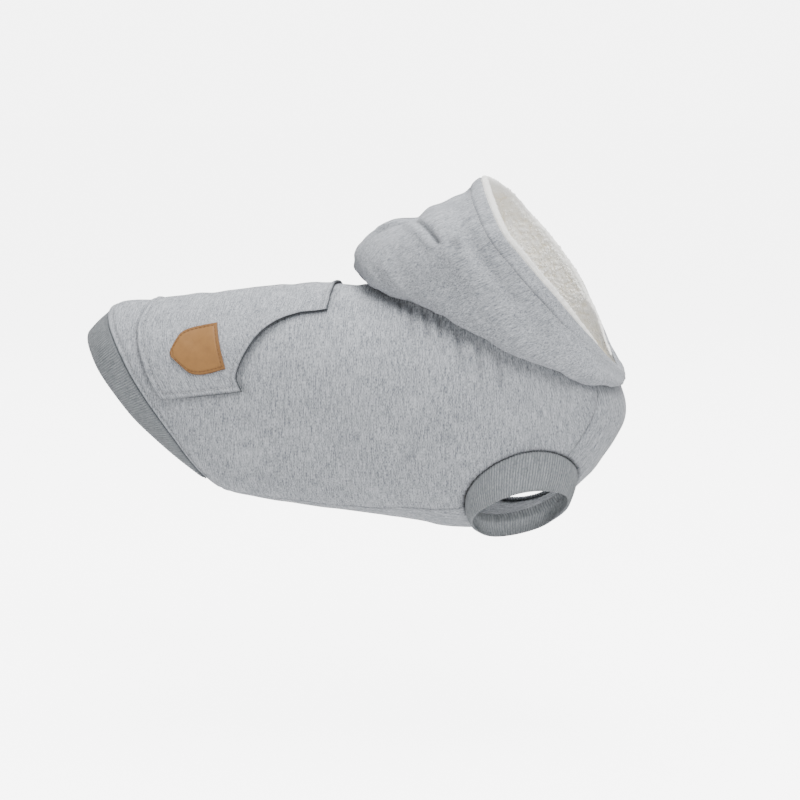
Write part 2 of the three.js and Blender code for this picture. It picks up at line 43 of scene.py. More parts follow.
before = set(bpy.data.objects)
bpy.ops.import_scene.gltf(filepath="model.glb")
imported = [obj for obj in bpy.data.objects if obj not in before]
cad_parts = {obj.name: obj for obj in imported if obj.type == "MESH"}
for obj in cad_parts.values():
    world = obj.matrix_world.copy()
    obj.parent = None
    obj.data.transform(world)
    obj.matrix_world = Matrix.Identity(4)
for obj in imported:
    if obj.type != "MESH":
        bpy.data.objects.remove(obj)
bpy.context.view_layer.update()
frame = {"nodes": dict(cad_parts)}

MM = 0.001
TURN = 2 * math.pi
RIGHT = 1
LEFT = -1
SIDES = {RIGHT: "right", LEFT: "left"}
BODY = "root"

# Cross sections of the body from the rump hem to the neck seam, evenly spread along it.
# top_x, low_x and bow are shares of the back length, top_z and low_z of the body depth, half of the
# body width. bow moves the flanks rearward, low is the rounding below, seam is the side seam's
# angle from the spine in degrees.
BODY_SECTIONS = {
    "top_x": (-0.604, -0.571, -0.455, -0.309, -0.164, 0, 0.164, 0.273, 0.338, 0.375, 0.389, 0.396),
    "top_z": (-0.122, -0.078, -0.064, -0.042, -0.019, 0, 0.007, 0.014, 0.018, 0.020, 0.021, 0.022),
    "low_x": (-0.249, -0.215, -0.120, 0.011, 0.135, 0.244, 0.364, 0.495, 0.631, 0.739, 0.806, 0.784),
    "low_z": (-0.861, -0.869, -0.892, -0.917, -0.936, -0.961, -0.986, -0.967, -0.885, -0.714, -0.520,
              -0.339),
    "half": (0.351, 0.378, 0.419, 0.446, 0.466, 0.486, 0.500, 0.500, 0.468, 0.430, 0.388, 0.345),
    "bow": (0.022, 0.022, 0.018, 0.011, 0.004, 0, 0, 0, 0, 0, 0, 0),
    "low": (0.72, 0.70, 0.70, 0.72, 0.76, 0.82, 0.88, 0.90, 0.90, 0.90, 0.90, 0.90),
    "seam": (150, 150, 149, 148, 146, 141, 136, 134, 133, 131, 129, 131),
}
# Rounding of the sections above their widest place
UPPER_ROUNDING = 0.9

# Rim of one half of the hood from the peak to the front of the chest, evenly spread.
# along is the share of the way from peak to chest, half and forward are shares of the hood width,
# and bulge, the swell of the cloth between rim and crown, is a share of the hood height.
HOOD_RIM = {
    "along": (0, 0.110, 0.236, 0.355, 0.475, 0.590, 0.710, 0.845, 1),
    "half": (0, 0.347, 0.484, 0.508, 0.500, 0.476, 0.419, 0.298, 0),
    "forward": (0, -0.016, -0.038, -0.027, -0.014, 0, 0.007, 0.016, 0),
    "bulge": (-0.012, 0.055, 0.090, 0.080, 0.062, 0.044, 0.031, 0.026, 0.016),
}

# Fold of one half of the hood at the same places: run is its share of the way from rump hem to neck
# seam, angle its degrees from the spine, height and roll are shares of the hood height, and neck is
# the degrees from the spine where the cloth ends on the neck seam.
HOOD_FOLD = {
    "run": (0.524, 0.560, 0.630, 0.715, 0.805, 0.870, 0.918, 0.956, 0.991),
    "angle": (0, 18, 31, 43, 58, 76, 96, 126, 180),
    "height": (0.508, 0.452, 0.375, 0.313, 0.250, 0.205, 0.165, 0.125, 0.072),
    "roll": (0.180, 0.162, 0.145, 0.125, 0.100, 0.075, 0.055, 0.038, 0.018),
    "neck": (0, 12, 26, 42, 60, 80, 103, 135, 180),
}
# Share of a section's points before its under layer, and where among them the fold meets the body
FOLD_SHARE = 0.75
FOLD_AT = 0.90
# Share of the way to the neck seam at which the under layer is held
UNDER_STEP = 0.4
# Heights of the fold and the crown, and how far the crown reaches out, as shares of height and roll
FOLD_RISE = 0.42
CROWN_RISE = 0.95
CROWN_REACH = 0.15
# Powers that crowd the rim's skew towards the peak and the sections towards the chest
SKEW_EASE = 0.7
SECTION_EASE = 1.5
# Where the lining starts to thin out and where it ends along the rim, and its thinnest share
LINING_THIN_FROM = 0.62
LINING_END = 0.955
LINING_THINNEST = 0.35

# Width of the ribbed hem at angles from the spine: angle in degrees, width a share of the widest.
BAND_SECTIONS = {
    "angle": (0, 35, 70, 92, 108, 122, 134),
    "width": (0.98, 1.00, 0.96, 0.90, 0.66, 0.32, 0.03),
}

# Where the body cloth starts at the rump, at angles from the spine: the ribbed hem reaches in to here.
HEM_LINE = {
    "angle": (0, 31, 54, 72, 90, 102, 114, 125, 180),
    "run": (0.046, 0.050, 0.052, 0.042, 0.034, 0.030, 0.012, 0, 0),
}

# Settled noise that moves the cloth off its plain shape: its height in metres, the length of its
# waves, or one length for each axis, and its seed. The fold's painted shadow and the curls have a share
# from 0 to 1 in place of a height.
WAVES = {
    "body swell": (1.3 * MM, (0.062, 0.05, 0.07), 3),
    "body drape": (0.75 * MM, (0.0125, 0.05, 0.075), 5),
    "body crumple": (0.22 * MM, 0.011, 7),
    "pucker": (2.2 * MM, (0.0070, 0.03, 0.05), 11),
    "pucker sway": (2 * MM, 0.03, 12),
    "fold shading": (0.5, (0.006, 0.02, 0.02), 13),
    "chest pull": (1.0 * MM, (0.055, 0.0075, 0.06), 17),
    "leg tension": (1.2 * MM, (1 / 3, 1 / 3, 0.05), 23),
    "half swell": (1.2 * MM, (0.03, 0.03, 0.025), 30),
    "hood swell": (1.5 * MM, (0.04, 0.03, 0.035), 31),
    "hood crumple": (0.7 * MM, 0.017, 33),
    "hem ripple": (0.75 * MM, (0.0065, 0.02, 1), 35),
    "fold wrinkle": (0.9 * MM, (0.028, 0.0055, 1), 37),
    "fold gather": (1.3 * MM, (0.006, 0.02, 1), 39),
    "band sway": (0.9 * MM, (0.022, 0.02, 0.022), 41),
    "cuff swell": (0.5 * MM, 0.014, 43),
    "curl": (0.54, 0.0030, 51),
    "small curl": (0.36, 0.0017, 53),
    "pocket swell": (0.45 * MM, (0.03, 0.03, 0.04), 61),
    "leather dent": (0.10 * MM, 0.004, 71),
}

# Lines along which the cloth is drawn in or, where the height is positive, rolls up: height, place
# across the line and width.
RIDGES = {
    "side seam": (-0.35 * MM, 0, 0.0022),
    "leg hole": (-0.5 * MM, 0, 0.002),
    "rump hem stitching": (-0.9 * MM, 0.0082, 0.0018),
    "rump hem": (0.6 * MM, 0.004, 0.0028),
    "hood hem stitching": (-0.6 * MM, -0.001, 0.0011),
    "pocket stitching": (-0.75 * MM, 0, 0.0008),
}

# Lines of painted shade, darker where the cloth lies in a seam, beside an edge or under a fold: depth
# of the painted shade from 0 to 1, place across the line and width.
PAINTED_SHADE_LINES = {
    "side seam": (0.16, 0, 0.0011),
    "leg hole": (0.6, 0, 0.0014),
    "rump hem stitching": (0.30, 0.0082, 0.0016),
    "under the fold": (0.75, -0.001, 0.0026),
    "hood hem stitching": (0.5, -0.001, 0.0009),
    "crown seam": (0.9, 0, 0.0009),
    "beside the pocket": (1, 0.0006, 0.0024),
    "pocket edge": (1, 0, 0.0012),
    "pocket stitching": (0.4, 0, 0.0007),
}

# Hollow and roll of the hood's side behind its hem, and the painted shade in the hollow: height or
# shade, place and width along the rim, and place and width away from it.
CHEEK_SHAPES = ((-3.6 * MM, 0.088, 0.045, 0.0225, 0.0065), (1.8 * MM, 0.08, 0.04, 0.040, 0.007))
CHEEK_SHADE = (0.24, 0.088, 0.035, 0.0225, 0.0045)

# Dips and one roll of the crown at the hood's middle: height, place away from the rim and width.
CROWN_SHAPES = ((-3.2 * MM, 0.015, 0.008), (-2.2 * MM, 0.032, 0.010), (-4.6 * MM, 0.055, 0.008),
                (1.2 * MM, 0.073, 0.007))

# A pleat and a tuck in the right half of the hood, the rolls beside them and a dent, and their painted
# shades: height or painted shade, the two ends by the lengths along the rim and away from it, and width.
PLEAT = ((0.022, 0.0545), (0.066, 0.0438))
TUCK = ((0.010, 0.0850), (0.0200, 0.0570))
PLEAT_SHAPES = (
    (-2.4 * MM, ((0.074, 0.034), (0.077, 0.035)), 0.0045),
    (-1.8 * MM, PLEAT, 0.0020),
    (1.6 * MM, ((0.026, 0.0610), (0.066, 0.0500)), 0.0035),
    (-1.6 * MM, TUCK, 0.0016),
    (1.8 * MM, ((0.004, 0.0830), (0.0120, 0.0600)), 0.0035),
)
PLEAT_SHADES = (
    (0.75, PLEAT, 0.0014),
    (0.4, TUCK, 0.0026),
    (0.32, ((0.072, 0.033), (0.079, 0.036)), 0.005),
)

# Where short puckers hang from the hood's fold: run and degrees from the spine.
PUCKERS = ((0.575, 33), (0.589, 47), (0.622, 50), (0.652, 54), (0.686, 65), (0.728, 73), (0.766, 81))
# Their valleys start hidden above the fold and fade below it, lean forward and have this width.
PUCKER_START = (-0.024, -0.014)
PUCKER_FADE = (-0.006, 0.016)
PUCKER_LEAN = 0.12
PUCKER_WIDTH = 0.0021
PUCKER_DEPTH = 2.3 * MM
# Painted shade in the puckers' valleys
PUCKER_SHADE = 0.2
PUCKER_REACH = 0.017

# How far the body's neck edge rises to meet the hood that is sewn to it, and the runs it rises over
NECK_RISE = 0.55 * MM
NECK_RUNS = (0.965, 0.985)

# How the body's cloth calms down at the rump hem, under the hood's fold and at a leg hole
HEM_EASE = (0, 0.02)
FOLD_EASE = (-0.002, 0.008)
LEG_EASE = (0, 0.006)
# How far the tension round a leg hole reaches, and the place and width in x and z of the chest's pull
LEG_TENSION_REACH = 0.014
CHEST_PULL = ((0.186, 0.026), (-0.045, 0.034))
# Mean painted shadow under the hood's fold
FOLD_SHADE = 0.85

# Rear and front edges of the pocket at angles from the spine, as shares of the way from rump hem to
# neck seam. The front edge cuts back at the hand opening.
POCKET_EDGES = {
    "angle": (0, 14, 28, 37, 39, 42, 48, 56, 64, 72, 79, 86),
    "rear": (0.168, 0.164, 0.156, 0.145, 0.143, 0.140, 0.135, 0.128, 0.122, 0.116, 0.113, 0.110),
    "front": (0.470, 0.469, 0.465, 0.460, 0.422, 0.397, 0.370, 0.341, 0.317, 0.295, 0.280, 0.278),
}
# Where the opening starts, how much narrower the pocket is at its front, and the steps to undo that
POCKET_CORNER = 39
POCKET_SIDE_TAPER = 0.07
TAPER_TRIES = 4
# Angles between which the opening gapes
OPENING_START = 38
OPENING_END = 80
# The body's radius under the pocket's sides, and the painted shadow on the body beside each edge
POCKET_RADIUS = 0.085
OPENING_EASE = (POCKET_CORNER, POCKET_CORNER + 4)
FRONT_SHADE = 0.2
OPENING_SHADE = 0.25
SIDE_SHADE = 0.12
# The pocket's swell and hem, and the painted shade of its edge, which is deepest towards the front
POCKET_SWELL = 0.45 * MM
POCKET_SWELL_EASE = (0.002, 0.012)
POCKET_HEM_THICKNESS = 0.5 * MM
POCKET_HEM_STEP = (-0.0004, 0.001)
REAR_SHADE = 0.5
FRONT_EASE = (0.2, 0.5)

# Half width of the patch from its straight edge to its point, as a share of its half width.
PATCH_OUTLINE = {
    "along": (0, 0.58, 0.72, 0.86, 1),
    "half": (1.00, 1.00, 0.86, 0.50, 0.10),
}
# The middle of the patch's straight edge and the turn of the patch
PATCH_RUN = 0.2775
PATCH_ANGLE = 55
PATCH_TURN = 0.17
# Steps in run and degrees over which the patch's scale on the body is measured
PATCH_STEPS = (-0.1, 1)
# The line pressed round the patch, where its stitches lie, and its darker edge
PATCH_INSET = 0.0022
PRESS_WIDTH = 0.0006
PRESS_DEPTH = 0.28 * MM
PRESS_SHADE = 0.6
PATCH_EASE = (0, 0.001)
PATCH_EDGE = (0.0003, 0.0016)
THREAD_LEVEL = 0.93

# Leg hole centre as shares of back length, body width and body depth, a run and angle inside it, the
# way it faces, the way from its centre to that of the cuff's end, and the way that end faces.
LEG_SHARES = (0.533, -0.363, -0.811)
LEG_START = (0.70, math.radians(130))
LEG_AXIS = Vector((-0.27, -0.73, -0.6)).normalized()
CUFF_WAY = Vector((0.155, 0.35, -0.925)).normalized()
CUFF_AXIS = Vector((0.26, -0.57, -0.76)).normalized()
# How deep along its axis a leg hole cuts, and the distance given for all that lies beyond
LEG_DEPTH = 0.055
FAR = 1
# The longest steps in run and angle when a point of a leg hole is searched for, and how many are taken
LEG_STEPS = (0.05, 0.2)
RIM_TRIES = 8
CUFF_TRIES = 40

# How far the whole run reaches along the cloth, about, and the body's radius at the side seams
RUN_LENGTH = 0.30
SEAM_RADIUS = 0.06

# Small step for slopes, the least length that a direction is worked out from, and a length added
# where it could be nothing
NUDGE = 0.001
TINY = 1e-12
NOT_ZERO = 1e-9

# Where a grid's extra lines lie in its first and last step
END_STEPS = (0.2, 0.55)

# Whole numbers that scramble a cell's place and a seed into a settled value
CELL_FACTORS = (73856093, 19349663, 83492791)
SEED_FACTOR = 2654435761
MIX_FACTOR = 1274126177
MIX_MASK = 0x7FFFFFFF
MIX_SHIFTS = (13, 16)


# Maths on arrays


def length_of(points):
    return np.linalg.norm(points, axis=-1)


def unit(vectors):
    return vectors / np.maximum(length_of(vectors), TINY)[..., None]


def signed_power(value, power):
    return np.sign(value) * np.abs(value) ** power


def bell(value, width):
    """1 at zero, falling smoothly to nothing a few widths away."""
    return np.exp(-((value / width) ** 2))


def ease(value, start, end):
    """0 before start, 1 after end and smooth between them."""
    share = np.clip((value - start) / (end - start), 0, 1)
    return share * share * (3 - 2 * share)


def smooth(before, start, end, after, t):
    """A smooth curve through four neighbouring values, at t between the second and the third."""
    linear = (end - before) * t
    square = (2 * before - 5 * start + 4 * end - after) * t**2
    cube = (3 * start - before - 3 * end + after) * t**3
    return (2 * start + linear + square + cube) / 2


def column(table, name, share):
    """A column of a table of evenly spread rows, read at a share of the way down it."""
    rows = np.array(table[name], float)
    rows = np.concatenate([[2 * rows[0] - rows[1]], rows, [2 * rows[-1] - rows[-2]]])
    place = np.clip(share, 0, 1) * (len(rows) - 3)
    row = np.minimum(place.astype(int), len(rows) - 4)
    return smooth(rows[row], rows[row + 1], rows[row + 2], rows[row + 3], place - row)


def lookup(table, key, name, value):
    """A column of a table read by its key column, in straight lines between the rows."""
    return np.interp(value, table[key], table[name])


def lattice(cells, seed):
    """A settled value from -1 to 1 for each whole-number cell."""
    first, second = MIX_SHIFTS
    x, y, z = np.moveaxis(cells * np.array(CELL_FACTORS), -1, 0)
    mixed = (x ^ y ^ z ^ (seed * SEED_FACTOR)) & MIX_MASK
    mixed = ((mixed ^ (mixed >> first)) * MIX_FACTOR) & MIX_MASK
    return (mixed ^ (mixed >> second)) / (MIX_MASK >> 1) - 1


def noise(points, size, seed):
    """Smooth noise from about -1 to 1. size is the wave's length, or one for each axis."""
    place = points / np.array(size)
    cells = np.floor(place).astype(np.int64)
    t = place - cells
    t = t * t * (3 - 2 * t)
    total = 0
    for corner in itertools.product((0, 1), repeat=3):
        weight = np.prod(np.where(corner, t, 1 - t), axis=-1)
        total = total + weight * lattice(cells + np.array(corner), seed)
    return total


def wave(name, points, shift=0):
    """Named noise at each point, with a seed that a shift sets apart for each side."""
    height, length, seed = WAVES[name]
    return height * noise(points, length, seed + shift)


def seam_line(table, name, way):
    """A named ridge or line of painted shade, at a way across it."""
    strength, place, width = table[name]
    return strength * bell(way - place, width)


def lump(shape, along, away):
    """A round hollow, roll or shade, at the lengths along a line and away from it."""
    strength, at_along, length, at_away, width = shape
    return strength * bell(along - at_along, length) * bell(away - at_away, width)


def spread(count):
    """Shares from 0 to 1 in even steps, with two short steps at each end."""
    even = np.linspace(0, 1, count + 1)
    extra = np.array(END_STEPS) / count
    return np.sort(np.concatenate([even, extra, 1 - extra]))


def evenly(fine, shares):
    """Rows of closely spaced values: where each row's running length reaches the shares of it."""
    steps = length_of(np.diff(fine, axis=1))
    run = np.concatenate([np.zeros((len(fine), 1)), np.cumsum(steps, axis=1)], axis=1)
    place = np.arange(fine.shape[1]) / (fine.shape[1] - 1)
    return np.stack([np.interp(shares * row[-1], row, place) for row in run])


def running(points, axis):
    """Length along each grid line from its start."""
    steps = length_of(np.diff(points, axis=axis))
    start = np.zeros_like(np.take(steps, [0], axis=axis))
    return np.concatenate([start, np.cumsum(steps, axis=axis)], axis=axis)


def across_grid(points, closed=False):
    """Unit normals of a grid of points, on the side that its faces point to."""
    by_row = np.gradient(points, axis=0)
    if closed:
        wide = np.concatenate([points[:, -2:-1], points, points[:, 1:2]], axis=1)
        by_column = (wide[:, 2:] - wide[:, :-2]) / 2
    else:
        by_column = np.gradient(points, axis=1)
    return unit(np.cross(by_column, by_row))


# Settings


def metres(name, description, value):
    return bpy.props.FloatProperty(
        name=name, description=description, default=value, min=0, unit="LENGTH", subtype="DISTANCE")


def colour(name, description, value):
    return bpy.props.FloatVectorProperty(
        name=name, description=description, default=value, size=3, min=0, max=1, subtype="COLOR")


class HoodieBodySizes(bpy.types.PropertyGroup):
    length: metres("Back length", "From rump hem to neck seam along the back", 0.275)
    depth: metres("Body depth", "From the back to the belly", 0.180)
    width: metres("Body width", "Across the chest", 0.148)
    wall: metres("Cloth thickness", "Brushed sweatshirt knit", 0.0025)
    seam_gap: metres("Seam gap", "Gap between panels at a seam", 0.0003)


class HoodieHoodSizes(bpy.types.PropertyGroup):
    height: metres("Hood height", "From the back up to the peak", 0.081)
    width: metres("Hood width", "Across the hood", 0.124)
    wall: metres("Hood cloth", "Thickness of the hood's cloth", 0.002)
    hem: metres("Rim hem", "Width of the hem along the rim", 0.011)
    peak_reach: metres("Peak reach", "How far the peak stands ahead of the neck seam", 0.005)
    rim_skew: metres("Rim skew", "How far the left rim stands ahead of the right one", 0.012)
    chest_lap: metres("Chest lap", "How far the hood's front ends overlap the chest", 0.002)
    clearance: metres("Hood clearance", "Between the hood's under layer and the body", 0.0006)
    lining_wall: metres("Lining thickness", "Backing and pile of the fleece", 0.003)
    lining_edge: metres("Lining edge", "How far the fleece stands past the rim", 0.0048)
    pile: metres("Pile height", "How high the fleece's curls stand", 0.0018)


class HoodieTrimSizes(bpy.types.PropertyGroup):
    band_width: metres("Hem band width", "Widest part of the ribbed hem over the rump", 0.020)
    rib_wall: metres("Rib thickness", "Ribbed knit", 0.0022)
    rib_pitch: metres("Rib pitch", "From one rib to the next", 0.0019)
    rib_height: metres("Rib height", "From a rib's valley to its top", 0.00035)
    leg_hole: metres("Leg hole width", "Across a front leg hole", 0.069)
    cuff_end: metres("Cuff end width", "Across the cuff's lower edge", 0.072)
    cuff_drop: metres("Cuff drop", "From the hole's middle to the end's middle", 0.013)
    cuff_tuck: metres("Cuff tuck", "How far the cuff reaches inside the hole", 0.002)
    pocket_wall: metres("Pocket cloth", "Thickness of the pocket", 0.002)
    pocket_clearance: metres("Pocket clearance", "Between the pocket and the body", 0.0005)
    pocket_lift: metres("Opening lift", "How far the hand openings gape", 0.002)
    pocket_hem: metres("Pocket hem", "From the pocket's edge to its topstitching", 0.0048)
    patch_length: metres("Patch length", "From its straight edge to its point", 0.040)
    patch_width: metres("Patch width", "Along its straight edge", 0.037)
    patch_wall: metres("Patch thickness", "Leather", 0.0012)
    patch_clearance: metres("Patch clearance", "Between the patch and the pocket", 0.0005)
    stitch: metres("Stitch length", "One stitch of the topstitching", 0.0022)
    stitch_gap: metres("Stitch gap", "Between two stitches", 0.0009)
    thread: metres("Thread width", "Sewing thread", 0.0005)


class HoodieColours(bpy.types.PropertyGroup):
    cloth_light: colour("Light yarn", "Lighter yarn of the heather grey cloth", (0.58, 0.60, 0.635))
    cloth_dark: colour("Dark yarn", "Darker yarn of the heather grey cloth", (0.20, 0.215, 0.24))
    rib_light: colour("Light rib yarn", "Lighter yarn of the ribbed knit", (0.42, 0.44, 0.46))
    rib_dark: colour("Dark rib yarn", "Darker yarn of the ribbed knit", (0.13, 0.142, 0.152))
    fleece: colour("Fleece", "Tips of the lining's curls", (0.97, 0.96, 0.92))
    # Painted shade: the fleece's colour deep between its curls
    fleece_shade: colour("Fleece shade", "Deep between the lining's curls", (0.86, 0.80, 0.68))
    leather: colour("Leather", "Face of the patch", (0.325, 0.158, 0.048))
    leather_edge: colour("Leather edge", "Pressed edge of the patch", (0.19, 0.09, 0.032))
    thread: colour("Thread", "Topstitching on cloth", (0.62, 0.63, 0.65))
    leather_thread: colour("Patch thread", "Stitching on the patch", (0.26, 0.13, 0.05))
    floor: colour("Floor", "Floor and surroundings", (0.90, 0.90, 0.90))


class HoodieSettings(bpy.types.PropertyGroup):
    body: bpy.props.PointerProperty(type=HoodieBodySizes, name="Body", description="Sizes of the body")
    hood: bpy.props.PointerProperty(type=HoodieHoodSizes, name="Hood", description="Sizes of the hood")
    trim: bpy.props.PointerProperty(type=HoodieTrimSizes, name="Trim", description="Sizes of the trim")
    colours: bpy.props.PointerProperty(type=HoodieColours, name="Colours", description="Colours")


def settings():
    return bpy.context.scene.dog_hoodie


# Body shape


def body_point(run, angle):
    """Plain outer surface of the body: run is 0 at the rump hem and 1 at the neck seam, and angle
    turns from the spine down the right side."""
    size = settings().body
    across = np.sin(angle)
    down = np.cos(angle)
    rounding = np.where(down > 0, UPPER_ROUNDING, column(BODY_SECTIONS, "low", run))
    share = (1 - signed_power(down, rounding)) / 2

    def between(top, low):
        start = column(BODY_SECTIONS, top, run)
        return start + (column(BODY_SECTIONS, low, run) - start) * share

    x = between("top_x", "low_x") - column(BODY_SECTIONS, "bow", run) * np.abs(across)
    y = -column(BODY_SECTIONS, "half", run) * signed_power(across, rounding)
    z = between("top_z", "low_z")
    return np.stack([x * size.length, y * size.width, z * size.depth + size.wall], axis=-1)


def body_normal(run, angle):
    by_run = body_point(np.minimum(run + NUDGE, 1), angle) - body_point(np.maximum(run - NUDGE, 0), angle)
    by_angle = body_point(run, angle + NUDGE) - body_point(run, angle - NUDGE)
    return unit(np.cross(by_angle, by_run))


def seam_angle(run):
    """The angle from the spine at which the panels are sewn together."""
    return np.radians(column(BODY_SECTIONS, "seam", run))


def leg_frame(side):
    """A leg hole's centre, and the directions along and across it."""
    size = settings().body
    mirror = np.array([1, side, 1])
    along = np.array(LEG_AXIS) * mirror
    first = unit(np.array([1.0, 0, 0]) - along * along[0])
    centre = np.array(LEG_SHARES) * (size.length, size.width, size.depth) + (0, 0, size.wall)
    return centre * mirror, along, first, np.cross(along, first)


def leg_offsets(points, side):
    """Across a leg hole in two directions, and along it."""
    centre, along, first, second = leg_frame(side)
    away = points - centre
    return away @ first, away @ second, away @ along


def cross_flat(a, b):
    return a[..., 0] * b[..., 1] - a[..., 1] * b[..., 0]


def on_leg_hole(side, turn, radius, run, angle, steps):
    """Run and angle of the body's points at a leg hole's turn and radius, found step by step."""
    target = radius * np.stack([np.cos(turn), np.sin(turn)], axis=-1)

    def flat(r, a):
        return np.stack(leg_offsets(body_point(r, a), side)[:2], axis=-1)

    for _ in range(steps):
        miss = target - flat(run, angle)
        by_run = (flat(run + NUDGE, angle) - flat(run - NUDGE, angle)) / (2 * NUDGE)
        by_angle = (flat(run, angle + NUDGE) - flat(run, angle - NUDGE)) / (2 * NUDGE)
        area = cross_flat(by_run, by_angle)
        run = run + np.clip(cross_flat(miss, by_angle) / area, -LEG_STEPS[0], LEG_STEPS[0])
        angle = angle + np.clip(cross_flat(by_run, miss) / area, -LEG_STEPS[1], LEG_STEPS[1])
    return run, angle


def from_leg_hole(points):
    """Distance outside the nearer leg hole's edge, negative inside it, the turn about it and its side."""
    side = np.where(points[..., 1] < 0, RIGHT, LEFT)
    found = [leg_offsets(points, way) for way in (RIGHT, LEFT)]
    first, second, along = (np.where(side == RIGHT, a, b) for a, b in zip(*found))
    away = np.hypot(first, second) - settings().trim.leg_hole / 2
    away = np.where(np.abs(along) < LEG_DEPTH, away, FAR)
    return away, np.arctan2(second, first), side


def hem_run(degrees):
    return curve(HEM_LINE, "angle", "run", degrees)


def from_spine(angle):
    """Degrees from the spine, from -180 to 180."""
    return np.degrees(np.mod(angle + math.pi, TURN) - math.pi)


def pucker_valleys(points):
    """1 in the valleys of the short puckers that hang from the hood's fold, and nothing beside them."""
    found = 0
    for run, degrees in PUCKERS:
        x, _, z = body_point(run, math.radians(degrees))
        drop = z - points[..., 2]
        reach = ease(drop, *PUCKER_START) * (1 - ease(drop, *PUCKER_FADE))
        found = np.maximum(found, bell(points[..., 0] - x - PUCKER_LEAN * drop, PUCKER_WIDTH) * reach)
    return found


def body_lines(points, run, angle):
    """Ways along the cloth from a point of the body to the lines that shape it: the rump hem, the
    hood's fold, the side seam and the nearer leg hole, and the turn about that hole."""
    degrees = np.abs(from_spine(angle))
    hem = (run - hem_run(degrees)) * RUN_LENGTH
    behind = (lookup(HOOD_FOLD, "angle", "run", degrees) - run) * RUN_LENGTH
    seam = (np.radians(degrees) - seam_angle(run)) * SEAM_RADIUS
    away, turn, _ = from_leg_hole(points)
    return hem, behind, seam, away, turn


def body_relief(points, run, angle):
    """How far the worn cloth stands off the body's plain shape."""
    hem, behind, seam, away, turn = body_lines(points, run, angle)
    x, y, z = np.moveaxis(points, -1, 0)
    cloth = sum(wave(name, points) for name in ("body swell", "body drape", "body crumple"))
    cloth = cloth * ease(hem, *HEM_EASE)
    swayed = points + wave("pucker sway", points)[..., None]
    cloth = cloth + wave("pucker", swayed) * np.exp(-np.maximum(behind, 0) / PUCKER_REACH)
    cloth = cloth - PUCKER_DEPTH * pucker_valleys(points)
    pull = wave("chest pull", np.stack([x + z, x - z, y], axis=-1))
    for value, (place, width) in zip((x, z), CHEST_PULL):
        pull = pull * bell(value - place, width)
    rays = np.stack([np.cos(turn), np.sin(turn), away], axis=-1)
    tension = wave("leg tension", rays) * np.exp(-np.maximum(away, 0) / LEG_TENSION_REACH)
    cloth = (cloth + pull + tension) * ease(behind, *FOLD_EASE) * ease(away, *LEG_EASE)
    lines = (("side seam", seam), ("leg hole", away), ("rump hem stitching", hem), ("rump hem", hem))
    ridges = sum(seam_line(RIDGES, name, way) for name, way in lines)
    return cloth + ridges + NECK_RISE * ease(run, *NECK_RUNS)


def body_painted_shade(points, run, angle):
    """Painted shade on the body from 0 to 1: in its seams and the puckers' valleys, under the hood's fold
    and beside the pocket.
    """
    hem, behind, seam, away, _ = body_lines(points, run, angle)
    lines = (("side seam", seam), ("leg hole", away), ("rump hem stitching", hem))
    found = [seam_line(PAINTED_SHADE_LINES, name, way) for name, way in lines]
    found.append(seam_line(PAINTED_SHADE_LINES, "under the fold", behind) * (FOLD_SHADE + wave("fold shading", points)))
    found.append(PUCKER_SHADE * pucker_valleys(points))
    found.append(pocket_painted_shadow(run, np.abs(from_spine(angle))))
    return np.clip(np.maximum.reduce(found), 0, 1)


def dressed_point(run, angle, height=0):
    """A point of the worn body cloth, at a height above it, and the body's plain normal there."""
    plain = body_point(run, angle)
    normal = body_normal(run, angle)
    height = np.asarray(height) + body_relief(plain, run, angle)
    return plain + normal * height[..., None], normal


# Hood shape

# Where the hood's swells, hem, wrinkles and gathers come in and fade, in metres along its cloth
HALF_SWELL_FROM = 0.02
HOOD_SWELL_EASE = (0.012, 0.03)
HOOD_CRUMPLE_FROM = 0.01
HEM_RIPPLE_WIDTH = 0.006
HEM_THICKNESS = 0.7 * MM
HEM_STEP = (-0.001, 0.003)
WRINKLE_BEFORE = 0.018
WRINKLE_WIDTH = 0.016
GATHER_WIDTH = 0.007
CROWN_EASE = (0.006, 0.034)
UNDER_EASE = (-0.001, 0.004)
# Where the painted shade of the hem stitching fades towards the chest, and the painted shadow on the hood's
# underside just past the fold: its depth, start and end
STITCH_SHADE_END = (0.13, 0.17)
UNDER_SHADE = 0.55
UNDER_SHADE_START = (-0.002, 0.002)
UNDER_SHADE_END = (0.006, 0.012)


def hood_ends():
    """The hood's peak and its front end on the chest."""
    size = settings().hood
    peak = body_point(1, 0)
    peak[2] = size.height + settings().body.wall
    peak[0] += size.peak_reach
    return peak, body_point(1, math.pi) + (size.chest_lap / 2, 0, size.chest_lap)


def hood_under(turn, share):
    """A point of the hood's under layer, from the fold's seat at 0 to the neck seam at 1."""
    run = column(HOOD_FOLD, "run", turn)
    angle = np.radians(column(HOOD_FOLD, "angle", turn))
    neck = np.radians(column(HOOD_FOLD, "neck", turn))
    run, angle = run + (1 - run) * share, angle + (neck - angle) * share
    return body_point(run, angle) + body_normal(run, angle) * settings().hood.clearance


